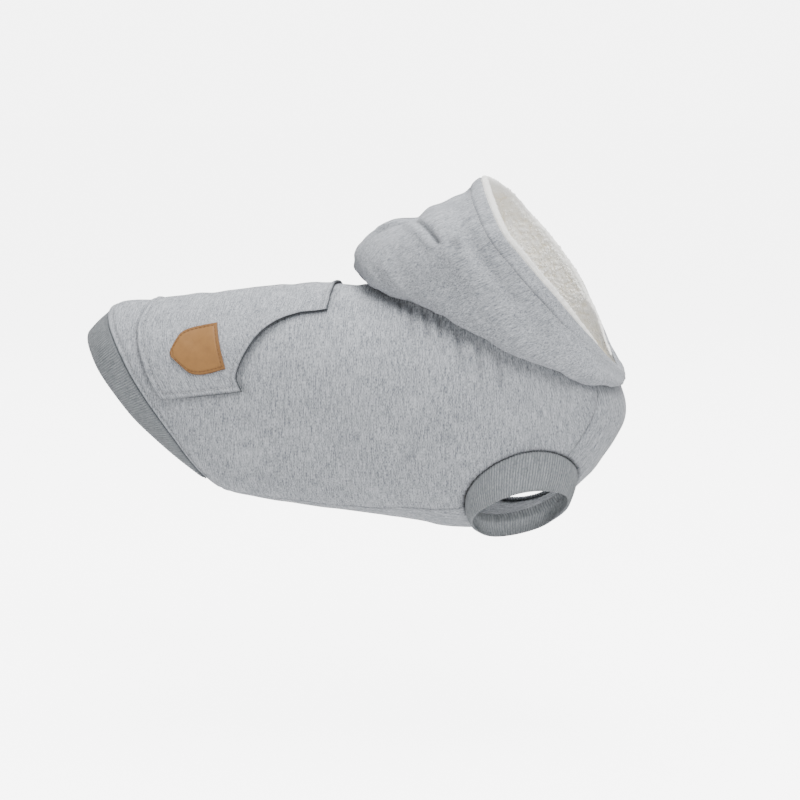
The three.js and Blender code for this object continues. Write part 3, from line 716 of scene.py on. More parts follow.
def hood_controls(turn, side):
    """The points that each section of the hood runs through, worked out on the right side."""
    size = settings().hood
    peak, chest = hood_ends()
    way = chest - peak
    ahead = unit(np.array([-way[2], 0, way[0]]))
    along = np.clip(column(HOOD_RIM, "along", turn), 0, 1)
    skew = size.rim_skew * np.sin(math.pi * along**SKEW_EASE) if side == LEFT else 0
    forward = column(HOOD_RIM, "forward", turn) * size.width + skew
    rim = peak + way * along[:, None] + ahead * forward[:, None]
    rim[:, 1] = -np.maximum(column(HOOD_RIM, "half", turn), 0) * size.width
    run = column(HOOD_FOLD, "run", turn)
    angle = np.radians(column(HOOD_FOLD, "angle", turn))
    height = (column(HOOD_FOLD, "height", turn) * size.height)[:, None]
    roll = (column(HOOD_FOLD, "roll", turn) * size.height)[:, None]
    base = body_point(run, angle)
    up = body_normal(run, angle)
    outward = base - body_point(1, np.radians(column(HOOD_FOLD, "neck", turn)))
    outward = unit(outward - up * np.sum(outward * up, axis=1)[:, None])
    fold = base + outward * roll + up * height * FOLD_RISE
    crown = base + outward * roll * CROWN_REACH + up * height * CROWN_RISE
    chord = crown - rim
    swell = unit(np.cross(np.cross(chord, up), chord))
    bulge = (column(HOOD_RIM, "bulge", turn) * size.height)[:, None]
    cheek = (rim + crown) / 2 + swell * bulge
    under = [hood_under(turn, 0), hood_under(turn, UNDER_STEP)]
    return np.stack([rim, cheek, crown, fold, *under])


def hood_sections(turn, side, count):
    """Closely spaced points of each section, from the rim round the fold to the neck seam."""
    controls = hood_controls(turn, side)
    controls = np.concatenate([[2 * controls[0] - controls[1]], controls])
    spans = len(controls) - 3
    travel = np.linspace(0, 1, count)
    over = travel[travel < FOLD_SHARE] / FOLD_SHARE * spans
    span = np.minimum(over.astype(int), spans - 1)
    t = (over - span)[:, None, None]
    upper = smooth(controls[span], controls[span + 1], controls[span + 2], controls[span + 3], t)
    share = (travel[travel >= FOLD_SHARE] - FOLD_SHARE) / (1 - FOLD_SHARE)
    under = hood_under(turn[None, :], share[:, None])
    return np.concatenate([upper, under]).transpose(1, 0, 2)


def near_line(rim_arc, away, ends, width):
    """1 on the straight line between two places on the hood, and nothing a few widths away."""
    start, end = np.array(ends)
    place = np.stack([rim_arc, away], axis=-1) - start
    share = np.clip(place @ (end - start) / np.sum((end - start) ** 2), 0, 1)
    return bell(length_of(place - share[..., None] * (end - start)), width)


def hood_relief(points, rim_arc, away, fold, side):
    """How far the hood's cloth stands off its plain shape: rim_arc runs along the rim from the peak
    and away from the rim over the outside, which reaches the fold at a length of its own."""
    past_hem = away - settings().hood.hem
    past_fold = away - fold
    flat = np.stack([rim_arc, away, np.zeros_like(away)], axis=-1)
    half = wave("half swell", points, side) * ease(rim_arc, 0, HALF_SWELL_FROM)
    relief = (wave("hood swell", points) + half) * ease(away, *HOOD_SWELL_EASE)
    relief = relief + wave("hood crumple", points) * ease(away, 0, HOOD_CRUMPLE_FROM)
    relief = relief + wave("hem ripple", flat) * bell(past_hem, HEM_RIPPLE_WIDTH)
    relief = relief + HEM_THICKNESS * (1 - ease(past_hem, *HEM_STEP))
    relief = relief + seam_line(RIDGES, "hood hem stitching", past_hem)
    relief = relief + wave("fold wrinkle", flat) * bell(past_fold + WRINKLE_BEFORE, WRINKLE_WIDTH)
    relief = relief + wave("fold gather", flat) * bell(past_fold, GATHER_WIDTH)
    relief = relief + sum(lump(shape, rim_arc, away) for shape in CHEEK_SHAPES)
    crown = sum(height * bell(away - place, width) for height, place, width in CROWN_SHAPES)
    relief = relief + crown * (1 - ease(rim_arc, *CROWN_EASE))
    if side == RIGHT:
        relief = relief + sum(h * near_line(rim_arc, away, ends, width) for h, ends, width in PLEAT_SHAPES)
    return relief * (1 - ease(past_fold, *UNDER_EASE))


def hood_painted_shade(rim_arc, away, fold, side):
    """Painted shade on the hood from 0 to 1: in its hem stitching, crown seam, pleat and tuck, in the hollow
    of its side and just past its fold.
    """
    stitched = seam_line(PAINTED_SHADE_LINES, "hood hem stitching", away - settings().hood.hem)
    under = ease(away - fold, *UNDER_SHADE_START) * (1 - ease(away - fold, *UNDER_SHADE_END))
    found = [stitched * (1 - ease(rim_arc, *STITCH_SHADE_END)), seam_line(PAINTED_SHADE_LINES, "crown seam", rim_arc),
             lump(CHEEK_SHADE, rim_arc, away), UNDER_SHADE * under]
    if side == RIGHT:
        found.extend(shade * near_line(rim_arc, away, ends, width) for shade, ends, width in PLEAT_SHADES)
    return np.clip(np.maximum.reduce(found), 0, 1)


HOOD_ROWS = 150
HOOD_COLUMNS = 150
HOOD_FINE_STEPS = 700


def hood_surface(side):
    """Grid of the hood's worn outer surface on one side: its turns, points, normals and lengths."""
    number = spread(HOOD_ROWS)
    turn = 1 - (1 - number) ** SECTION_EASE
    fine = hood_sections(turn, side, HOOD_FINE_STEPS)
    fold = running(fine, 1)[:, round(FOLD_SHARE * FOLD_AT * fine.shape[1])][:, None]
    place = evenly(fine, spread(HOOD_COLUMNS)) * (fine.shape[1] - 1)
    low = np.minimum(place.astype(int), fine.shape[1] - 2)
    rows = np.arange(len(fine))[:, None]
    points = fine[rows, low] + (fine[rows, low + 1] - fine[rows, low]) * (place - low)[..., None]
    normals = across_grid(points)
    normals[[0, -1], :, 1] = 0
    normals = unit(normals)
    rim_arc = np.repeat(running(points[:, :1], 0), points.shape[1], axis=1)
    away = running(points, 1)
    painted_shade_marks = hood_painted_shade(rim_arc, away, fold, side)
    points = points + normals * hood_relief(points, rim_arc, away, fold, side)[..., None]
    mirror = np.array([1, side, 1])
    return {
        "turn": turn,
        "points": points * mirror,
        "normals": normals * mirror,
        "rim_arc": running(points, 0),
        "away": running(points, 1),
        "painted_shade_marks": painted_shade_marks,
    }


# Pocket and patch shape


def curve(table, key, name, value):
    """A column of a table read by its key column, on a smooth curve through the rows."""
    keys = np.array(table[key], float)
    values = np.array(table[name], float)
    secants = np.diff(values) / np.diff(keys)
    slopes = np.concatenate([secants[:1], (secants[1:] + secants[:-1]) / 2, secants[-1:]])
    row = np.clip(np.searchsorted(keys, value, side="right") - 1, 0, len(keys) - 2)
    step = keys[row + 1] - keys[row]
    t = np.clip((value - keys[row]) / step, 0, 1)
    start = (1 + 2 * t) * (1 - t) ** 2 * values[row] + t * (1 - t) ** 2 * step * slopes[row]
    end = t**2 * (3 - 2 * t) * values[row + 1] - t**2 * (1 - t) * step * slopes[row + 1]
    return start + end


def pocket_edge(name, degrees):
    rows = [n for n, angle in enumerate(POCKET_EDGES["angle"]) if angle >= POCKET_CORNER]
    opening = {key: [POCKET_EDGES[key][n] for n in rows] for key in ("angle", name)}
    straight = lookup(POCKET_EDGES, "angle", name, degrees)
    return np.where(degrees > POCKET_CORNER, curve(opening, "angle", name, degrees), straight)


def pocket_stand_off(flat, along):
    """How far the pocket's underside stands off the body: more towards the hand openings."""
    size = settings().trim
    at_opening = np.clip((flat - OPENING_START) / (OPENING_END - OPENING_START), 0, 1)
    return size.pocket_clearance + size.pocket_lift * np.sin(math.pi * at_opening) * along**2


def pocket_shares(run, degrees):
    """The pocket's own angle and its share of the way forward at a place on the body, found by
    undoing the pocket's side taper."""
    along = 0.5
    for _ in range(TAPER_TRIES):
        flat = degrees / (1 - POCKET_SIDE_TAPER * along)
        rear = pocket_edge("rear", flat)
        along = (run - rear) / (pocket_edge("front", flat) - rear)
    return degrees / (1 - POCKET_SIDE_TAPER * along), along


def pocket_painted_shadow(run, degrees):
    """Painted shadow on the body in the corner beside the pocket's edge, from 0 to 1."""
    flat, _ = pocket_shares(run, degrees)
    ahead = (run - pocket_edge("front", flat)) * RUN_LENGTH
    behind = (pocket_edge("rear", flat) - run) * RUN_LENGTH
    below = np.radians(flat - POCKET_EDGES["angle"][-1]) * POCKET_RADIUS
    front = FRONT_SHADE + OPENING_SHADE * ease(flat, *OPENING_EASE)
    shade = np.where(ahead >= np.maximum(behind, below), front, SIDE_SHADE)
    return shade * seam_line(PAINTED_SHADE_LINES, "beside the pocket", np.maximum.reduce([ahead, behind, below]))


# Mesh

MERGE_DISTANCE = 1e-6
# How far in a wall's edge is rounded, as a share of its thickness
EDGE_ROUNDING = 0.6
BODY_ROUNDING = 0.35
# A stitch's segments and how far it stands out, as a share of its width
STITCH_SEGMENTS = (6, 4)
STITCH_RISE = 0.2


def new_piece(name, contents):
    piece = bpy.data.objects.new(name, contents)
    bpy.context.scene.collection.objects.link(piece)
    return piece


def point_values(mesh, name, values):
    attribute = mesh.attributes.new(name, "FLOAT", "POINT")
    attribute.data.foreach_set("value", values.astype(np.float32))


def taken_layer(mesh, name):
    """The whole numbers of a point layer, which is then removed."""
    values = np.zeros(len(mesh.vertices), np.int32)
    mesh.attributes[name].data.foreach_get("value", values)
    mesh.attributes.remove(mesh.attributes[name])
    return values


def wall(name, outer, inner, material, keep=None, closed=False, arcs=None, marks=None):
    """A closed cloth wall between two grids of points that meet at their open edges. keep leaves out
    faces, closed joins the last column to the first, arcs are the lengths along the cloth for its UV
    map, and marks are named values for each point."""
    rows, columns = outer.shape[0] - 1, outer.shape[1] - 1
    bm = bmesh.new()
    bmesh.ops.create_grid(bm, x_segments=columns, y_segments=rows, size=1)
    place = bm.verts.layers.int.new("place")
    inside = bm.verts.layers.int.new("inside")
    for number, vert in enumerate(bm.verts):
        vert[place] = number
    if keep is not None:
        corner = [min(vert.index for vert in face.verts) for face in bm.faces]
        kept = keep.ravel()
        width = columns + 1
        gone = [f for f, n in zip(bm.faces, corner) if not kept[n // width * columns + n % width]]
        bmesh.ops.delete(bm, geom=gone, context="FACES")
    copy = bmesh.ops.duplicate(bm, geom=bm.verts[:] + bm.edges[:] + bm.faces[:])["geom"]
    bmesh.ops.reverse_faces(bm, faces=[item for item in copy if isinstance(item, bmesh.types.BMFace)])
    for item in copy:
        if isinstance(item, bmesh.types.BMVert):
            item[inside] = 1
    layers = [outer.reshape(-1, 3), inner.reshape(-1, 3)]
    for vert in bm.verts:
        vert.co = layers[vert[inside]][vert[place]]
    edge = [vert for vert in bm.verts if vert.is_boundary]
    bmesh.ops.remove_doubles(bm, verts=edge, dist=MERGE_DISTANCE)
    mesh = bpy.data.meshes.new(name)
    bm.to_mesh(mesh)
    bm.free()
    mesh.shade_smooth()
    places = taken_layer(mesh, "place")
    mesh.attributes.remove(mesh.attributes["inside"])
    if arcs is not None:
        loops = np.zeros(len(mesh.loops), np.int32)
        mesh.loops.foreach_get("vertex_index", loops)
        starts = np.zeros(len(mesh.polygons), np.int32)
        mesh.polygons.foreach_get("loop_start", starts)
        row, step = np.divmod(places[loops], columns + 1)
        if closed:
            step = step % columns
            widest = np.repeat(np.maximum.reduceat(step, starts), np.diff(np.append(starts, len(loops))))
            step = np.where((step == 0) & (widest > columns / 2), columns, step)
        layer = mesh.uv_layers.new(name="cloth")
        layer.data.foreach_set("uv", arcs[row, step].astype(np.float32).ravel())
    for mark, values in (marks or {}).items():
        point_values(mesh, mark, values.ravel()[places])
    mesh.materials.append(material)
    return new_piece(name, mesh)


def layers_of(points, normals, thickness, edge, rounding=EDGE_ROUNDING):
    """Outer and inner grids of a wall whose edges are rounded: edge is the way to the nearest one,
    and rounding how far that reaches in, as a share of the thickness."""
    share = np.clip(edge / (thickness * rounding), 0, 1)
    through = normals * (np.ones_like(edge) * thickness / 2)[..., None]
    half = np.sqrt(1 - (1 - share) ** 2)[..., None] * through
    return points - through + half, points - through - half


def to_edges(rows, columns=None):
    """Way from each point of a grid to its nearest open edge, from the lengths along its lines."""
    way = np.minimum(rows, rows[-1:] - rows)
    if columns is not None:
        way = np.minimum(way, np.minimum(columns, columns[:, -1:] - columns))
    return way


def settle(piece, slot, *nodes):
    """The piece rides with the garment and stands for its nodes."""
    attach(piece, BODY)
    if nodes:
        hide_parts(*nodes)
    return piece


def settle_cloth(piece, slot, node, **more):
    settle(piece, slot, node)


def along_path(points, pitch):
    """Places at even steps along a path, and the direction there."""
    way = np.concatenate([[0], np.cumsum(length_of(np.diff(points[:, :3], axis=0)))])
    at = np.arange(pitch / 2, way[-1], pitch)
    found = np.stack([np.interp(at, way, points[:, axis]) for axis in range(points.shape[1])], axis=1)
    ahead = np.stack([np.interp(at + pitch / 4, way, points[:, axis]) for axis in range(3)], axis=1)
    return found, unit(ahead - found[:, :3] + NOT_ZERO)


def copies(name, shape, places, material, tones=None):
    """Copies of one small closed shape, one at each place, given as 4 by 4 matrices."""
    corners = np.array([vert.co for vert in shape.verts])
    number = shape.verts.layers.int.new("number")
    corner = shape.verts.layers.int.new("corner")
    for order, vert in enumerate(shape.verts):
        vert[corner] = order
    made = 1
    while made < len(places):
        copy = bmesh.ops.duplicate(shape, geom=shape.verts[:] + shape.edges[:] + shape.faces[:])["geom"]
        for item in copy:
            if isinstance(item, bmesh.types.BMVert):
                item[number] += made
        made *= 2
    extra = [vert for vert in shape.verts if vert[number] >= len(places)]
    bmesh.ops.delete(shape, geom=extra, context="VERTS")
    mesh = bpy.data.meshes.new(name)
    shape.to_mesh(mesh)
    shape.free()
    copy_of, corner_of = taken_layer(mesh, "number"), taken_layer(mesh, "corner")
    points = corners @ places[:, :3, :3].transpose(0, 2, 1) + places[:, None, :3, 3]
    mesh.vertices.foreach_set("co", points[copy_of, corner_of].ravel())
    if tones is not None:
        point_values(mesh, "raised", tones[copy_of])
    mesh.update()
    mesh.shade_smooth()
    mesh.materials.append(material)
    return new_piece(name, mesh)


def placed(columns, spots):
    """4 by 4 matrices from three columns and a spot for each copy."""
    places = np.zeros((len(spots), 4, 4))
    places[:, :3, :3] = np.stack(columns, axis=-1)
    places[:, :3, 3] = spots
    places[:, 3, 3] = 1
    return places


def stitches(name, paths, material):
    """Short raised stitches along paths of points and normals."""
    size = settings().trim
    found = [along_path(path, size.stitch + size.stitch_gap) for path in paths]
    spots = np.concatenate([places[:, :3] for places, _ in found])
    up = unit(np.concatenate([places[:, 3:6] for places, _ in found]))
    ahead = np.concatenate([ways for _, ways in found])
    side = unit(np.cross(up, ahead))
    up = np.cross(ahead, side)
    shape = bmesh.new()
    around, along = STITCH_SEGMENTS
    bmesh.ops.create_uvsphere(shape, u_segments=around, v_segments=along, radius=0.5)
    columns = ahead * size.stitch, side * size.thread, up * size.thread
    return copies(name, shape, placed(columns, spots + up * size.thread * STITCH_RISE), material)


# Materials

VALUE = "NodeSocketFloat"
COLOUR = "NodeSocketColor"
# Colour towards which painted shade darkens the cloth
PAINTED_SHADE_COLOUR = (0.035, 0.040, 0.045, 1.0)
WHITE = (1.0, 1.0, 1.0, 1.0)
# Level of the mirror shine
PLAIN_SHINE = 0.25
LEATHER_SHINE = 0.4

# Roughness, sheen, and the strength and height in metres of the bumps of each material
FINISHES = {
    "Heather cloth": (0.93, 0.12, 0.55, 0.0004),
    "Heather hood cloth": (0.93, 0.12, 0.55, 0.0004),
    "Heather rib": (0.95, 0.1, 0.5, 0.0004),
    "Curly fleece": (1.0, 0.35, 0.8, 0.0012),
    "Tan leather": (0.58, 0.0, 0.35, 0.0003),
    "Grey thread": (0.7, 0.1, 0.4, 0.0002),
    "Tan thread": (0.7, 0.1, 0.4, 0.0002),
    "Pale floor": (0.9, 0.0, 0.0, 0.0),
}

# Contrast of the yarns in each knit, and its columns of loops to the metre
KNITS = {
    "Heather cloth": (1.0, 950.0),
    "Heather hood cloth": (0.72, 950.0),
    "Heather rib": (0.55, 1200.0),
}

# Noise in the materials: waves to the metre along each axis, detail and roughness
GRAINS = {
    "streak": ((1250.0, 140.0, 1250.0), 1.5, 0.5),
    "fine yarn": ((1900.0, 560.0, 1900.0), 1.0, 0.5),
    "fleck": ((620.0, 60.0, 620.0), 1.0, 0.5),
    "cloud": ((38.0, 38.0, 38.0), 2.0, 0.5),
    "curl": ((420.0, 420.0, 420.0), 3.0, 0.6),
    "fleece patch": ((70.0, 70.0, 70.0), 2.0, 0.5),
    "leather cloud": ((160.0, 160.0, 160.0), 3.0, 0.5),
    "twist": ((2500.0, 2500.0, 2500.0), 1.0, 0.5),
    "floor": ((60.0, 60.0, 60.0), 2.0, 0.5),
}
LEATHER_CELLS = (1100.0, 1100.0, 1100.0)

# How strongly each grain mixes the yarns, and raises the knit or the leather
YARN_WEIGHTS = {"streak": 1.9, "fine yarn": 2.2, "fleck": 0.8, "cloud": 0.4}
YARN_HEIGHTS = (0.9, 0.7)
LEATHER_HEIGHTS = (0.8, 0.6)
LEATHER_PALE = 0.45
# Loops of the knit: height, courses for each wale and how far they lean to the sides
LOOP_HEIGHT = 0.25
LOOP_COURSES = 1.2
LOOP_LEAN = 0.6
# Painted shade in the valleys between the ribs, as a share of the way to the dark yarn
RIB_PAINTED_SHADE = 0.85
# Mean and weight of the grains that turn the fleece beige
FLEECE_SHADES = ((0.5, 0.8), (0.4, 0.9))
# Painted glow: the fleece gives off light of its own colour, as if light passed through it from outside
FLEECE_PAINTED_GLOW = 0.27
# Darker colour of the thread's and the floor's grain, as a share of the lighter one
THREAD_SHADE = 0.75
FLOOR_SHADE = 0.985


class Nodes:
    """Makes and joins shader nodes in one tree."""

    def __init__(self, tree):
        self.tree = tree

    def fill(self, socket, value):
        """Links another node's output to a socket, or sets its value."""
        if isinstance(value, bpy.types.NodeSocket):
            self.tree.links.new(value, socket)
        else:
            socket.default_value = value

    def add(self, kind, values=None, **options):
        node = self.tree.nodes.new(kind)
        for key, value in options.items():
            setattr(node, key, value)
        for key, value in (values or {}).items():
            self.fill(node.inputs[key], value)
        return node

    def maths(self, operation, *values):
        return self.add("ShaderNodeMath", dict(enumerate(values)), operation=operation).outputs[0]

    def weighed(self, value, mean, weight):
        """How far a value lies from its mean, times a weight."""
        return self.maths("MULTIPLY", self.maths("SUBTRACT", value, mean), weight)

    def scaled(self, vector, scale):
        return self.add("ShaderNodeMapping", {"Vector": vector, "Scale": scale}).outputs[0]

    def grain(self, name, vector):
        scale, detail, roughness = GRAINS[name]
        values = {"Vector": self.scaled(vector, scale), "Scale": 1.0, "Detail": detail,
                  "Roughness": roughness}
        return self.add("ShaderNodeTexNoise", values).outputs["Fac"]

    def mark(self, name):
        """A value that the mesh holds for each of its points."""
        return self.add("ShaderNodeAttribute", attribute_name=name).outputs["Fac"]

    def place(self):
        return self.add("ShaderNodeTexCoord").outputs["Object"]

    def between(self, share, low, high):
        """A colour between two, by a share from 0 to 1."""
        node = self.add("ShaderNodeMix", {0: share}, data_type="RGBA", clamp_factor=True)
        self.fill(node.inputs[6], low)
        self.fill(node.inputs[7], high)
        return node.outputs[2]


def group(name, inputs, outputs):
    """A new shader node group with its sockets."""
    tree = bpy.data.node_groups.new(name, "ShaderNodeTree")
    for label, kind, value in inputs:
        socket = tree.interface.new_socket(name=label, in_out="INPUT", socket_type=kind)
        socket.default_value = value
    for label, kind in outputs:
        tree.interface.new_socket(name=label, in_out="OUTPUT", socket_type=kind)
    nodes = Nodes(tree)
    return tree, nodes, nodes.add("NodeGroupInput").outputs, nodes.add("NodeGroupOutput").inputs


def heather_group():
    """Mixed light and dark yarns in short streaks, darkened towards black by the mesh's painted shade, with
    the knit's loops as a height.
    """
    name = "Heather knit"
    if name in bpy.data.node_groups:
        return bpy.data.node_groups[name]
    tree, nodes, given, made = group(
        name,
        [("Light", COLOUR, WHITE), ("Dark", COLOUR, PAINTED_SHADE_COLOUR), ("Contrast", VALUE, 1.0),
         ("Wale", VALUE, 1.0)],
        [("Colour", COLOUR), ("Height", VALUE)])
    cloth = nodes.add("ShaderNodeUVMap", uv_map="cloth").outputs[0]
    along = nodes.add("ShaderNodeSeparateXYZ", {"Vector": cloth}).outputs
    depth = nodes.mark("depth")
    yarn = nodes.add("ShaderNodeCombineXYZ", {"X": along["X"], "Y": along["Y"], "Z": depth}).outputs[0]
    grains = {key: nodes.grain(key, yarn) for key in ("streak", "fine yarn", "fleck")}
    grains["cloud"] = nodes.grain("cloud", nodes.place())
    total = 0.5
    for key, weight in YARN_WEIGHTS.items():
        shift = nodes.maths("MULTIPLY", nodes.weighed(grains[key], 0.5, weight), given["Contrast"])
        total = nodes.maths("ADD", shift, total)
    tint = nodes.between(total, given["Dark"], given["Light"])
    # Painted shade from the mesh's mark darkens the yarns
    tree.links.new(nodes.between(nodes.mark("painted_shade"), tint, PAINTED_SHADE_COLOUR), made["Colour"])
    across = nodes.maths("ADD", along["X"], depth)
    wale = nodes.maths("MULTIPLY", across, nodes.maths("MULTIPLY", given["Wale"], TURN))
    courses = nodes.maths("MULTIPLY", given["Wale"], TURN * LOOP_COURSES)
    course = nodes.maths("MULTIPLY", along["Y"], courses)
    lean = nodes.maths("MULTIPLY", nodes.maths("SINE", course), LOOP_LEAN)
    height = nodes.maths("MULTIPLY", nodes.maths("SINE", nodes.maths("ADD", wale, lean)), LOOP_HEIGHT)
    for key, weight in zip(("streak", "fine yarn"), YARN_HEIGHTS):
        height = nodes.maths("ADD", height, nodes.maths("MULTIPLY", grains[key], weight))
    tree.links.new(height, made["Height"])
    return tree


def finish(name, shine=PLAIN_SHINE):
    """A new material, its nodes and its shader."""
    roughness, sheen, _, _ = FINISHES[name]
    material = bpy.data.materials.new(name)
    material.use_nodes = True
    shader = material.node_tree.nodes["Principled BSDF"]
    values = {"Roughness": roughness, "Sheen Weight": sheen, "Specular IOR Level": shine}
    for key, value in values.items():
        shader.inputs[key].default_value = value
    return material, Nodes(material.node_tree), shader


def with_looks(material, nodes, shader, tint, height):
    """Joins a material's colour and bumps to its shader."""
    _, _, strength, distance = FINISHES[material.name]
    values = {"Height": height, "Strength": strength, "Distance": distance}
    nodes.tree.links.new(tint, shader.inputs["Base Color"])
    nodes.tree.links.new(nodes.add("ShaderNodeBump", values).outputs[0], shader.inputs["Normal"])
    return material


def opaque(rgb):
    return (*rgb, 1.0)


def knit_looks(name, nodes, light, dark):
    """Colour and height of a knit."""
    knit = nodes.add("ShaderNodeGroup", node_tree=heather_group())
    contrast, wale = KNITS[name]
    values = {"Light": opaque(light), "Dark": opaque(dark), "Contrast": contrast, "Wale": wale}
    for key, value in values.items():
        knit.inputs[key].default_value = value
    return knit.outputs["Colour"], knit.outputs["Height"]


def cloth_material(name="Heather cloth"):
    """Heather grey sweatshirt knit."""
    if name in bpy.data.materials:
        return bpy.data.materials[name]
    colours = settings().colours
    material, nodes, shader = finish(name)
    return with_looks(
        material, nodes, shader, *knit_looks(name, nodes, colours.cloth_light, colours.cloth_dark))


def rib_material():
    """Ribbed knit: the same yarns, with painted shade in the valleys between the ribs."""
    name = "Heather rib"
    if name in bpy.data.materials:
        return bpy.data.materials[name]
    colours = settings().colours
    material, nodes, shader = finish(name)
    knit, height = knit_looks(name, nodes, colours.rib_light, colours.rib_dark)
    shaded = nodes.between(RIB_PAINTED_SHADE, knit, opaque(colours.rib_dark))
    return with_looks(material, nodes, shader, nodes.between(nodes.mark("raised"), shaded, knit), height)


def fleece_material():
    """Curly fleece: creamy tips, painted beige shade between the curls with random patches, and a painted
    glow.
    """
    name = "Curly fleece"
    if name in bpy.data.materials:
        return bpy.data.materials[name]
    colours = settings().colours
    material, nodes, shader = finish(name)
    place = nodes.place()
    curl, patchy = nodes.grain("curl", place), nodes.grain("fleece patch", place)
    share = nodes.mark("raised")
    for grain, shade in zip((curl, patchy), FLEECE_SHADES):
        share = nodes.maths("ADD", share, nodes.weighed(grain, *shade))
    tint = nodes.between(share, opaque(colours.fleece_shade), opaque(colours.fleece))
    # Painted glow: the fleece's colour given off as light
    nodes.tree.links.new(tint, shader.inputs["Emission Color"])
    shader.inputs["Emission Strength"].default_value = FLEECE_PAINTED_GLOW
    return with_looks(material, nodes, shader, tint, curl)


def leather_material():
    """Tan leather with a fine grain and a pressed, darker edge."""
    name = "Tan leather"
    if name in bpy.data.materials:
        return bpy.data.materials[name]
    colours = settings().colours
    material, nodes, shader = finish(name, LEATHER_SHINE)
    place = nodes.place()
    cells = nodes.add(
        "ShaderNodeTexVoronoi", {"Vector": nodes.scaled(place, LEATHER_CELLS), "Scale": 1.0},
        feature="DISTANCE_TO_EDGE").outputs["Distance"]
    cloud = nodes.grain("leather cloud", place)
    share = nodes.maths("MULTIPLY", nodes.maths("ADD", cloud, LEATHER_PALE), nodes.mark("raised"))
    tint = nodes.between(share, opaque(colours.leather_edge), opaque(colours.leather))
    heights = [nodes.maths("MULTIPLY", *pair) for pair in zip((cells, cloud), LEATHER_HEIGHTS)]
    return with_looks(material, nodes, shader, tint, nodes.maths("ADD", *heights))


def thread_material(name, tint):
    """Twisted sewing thread."""
    if name in bpy.data.materials:
        return bpy.data.materials[name]
    material, nodes, shader = finish(name)
    twist = nodes.grain("twist", nodes.place())
    darker = [part * THREAD_SHADE for part in tint]
    return with_looks(
        material, nodes, shader, nodes.between(twist, opaque(darker), opaque(tint)), twist)


# Body pieces

BODY_ROWS = 168
BACK_COLUMNS = 210
BELLY_COLUMNS = 120
BODY_FINE_STEPS = 1200


def body_panel(name, low, high, columns, grain):
    """One panel of the body between two side seams, with the leg holes cut out of it. grain is the
    order of its lengths along and around the body in its UV map."""
    run = spread(BODY_ROWS)
    first, last = low(run)[:, None], high(run)[:, None]
    fine = first + (last - first) * np.linspace(0, 1, BODY_FINE_STEPS)
    angle = first + (last - first) * evenly(body_point(run[:, None], fine), spread(columns))
    start = hem_run(np.abs(from_spine(angle)))
    run = start + (1 - start) * run[:, None]
    away, turn, side = from_leg_hole(body_point(run, angle))
    corners = (away[:-1, :-1], away[1:, :-1], away[:-1, 1:], away[1:, 1:])
    keep = sum(corners) > 0
    padded = np.pad(keep, 1, constant_values=True)
    beside = (padded[:-1, :-1], padded[1:, :-1], padded[:-1, 1:], padded[1:, 1:])
    kept = sum(part.astype(int) for part in beside)
    rim = (kept > 0) & (kept < 4)
    for way in (RIGHT, LEFT):
        at = rim & (side == way)
        found = on_leg_hole(way, turn[at], settings().trim.leg_hole / 2, run[at], angle[at], RIM_TRIES)
        run[at], angle[at] = found
    away, _, _ = from_leg_hole(body_point(run, angle))
    points, normals = dressed_point(run, angle)
    way_in = np.minimum(to_edges(running(points, 0), running(points, 1)), np.maximum(away, 0))
    way_in = np.where(rim, 0, way_in)
    outer, inner = layers_of(points, normals, settings().body.wall, way_in, BODY_ROUNDING)
    along = running(points, 0)
    around = running(points, 1)
    middle = around[:, around.shape[1] // 2][:, None]
    zero = [np.interp(0, line_x, arc) for line_x, arc in zip(points[..., 0].T, along.T)]
    arcs = np.stack([along - np.array(zero), around - middle], axis=-1)
    marks = {"painted_shade": body_painted_shade(body_point(run, angle), run, angle)}
    return wall(name, outer, inner, cloth_material(), keep=keep, arcs=arcs[..., list(grain)], marks=marks)


# Grid steps across one rib, how square it is, and how far in the ribs are flatter at an edge
RIB_STEPS = 6
RIB_SHARPNESS = 0.7
RIB_EASE = (0, 0.0015)
BAND_ROWS = 30
BAND_FINE_STEPS = 4000
# The band's ribs at its edges as a share of full height, its swell, and how it dips and takes a painted
# shadow where the body cloth is sewn over it
BAND_EDGE = 0.35
BAND_SWELL = 0.9 * MM
BAND_DIP = 1.1 * MM
BAND_DIP_EASE = (0, 0.12)
BAND_SHADE = 0.9
BAND_SHADE_WIDTH = 0.0022


def rib_shape(phase):
    """Height of the ribs from 0 to 1, with one rib for each half turn of the phase."""
    return np.abs(np.cos(phase)) ** RIB_SHARPNESS


def rib_relief(rib, way_in, at_edge):
    share = at_edge + (1 - at_edge) * ease(way_in, *RIB_EASE)
    return settings().trim.rib_height * (rib - 0.5) * share


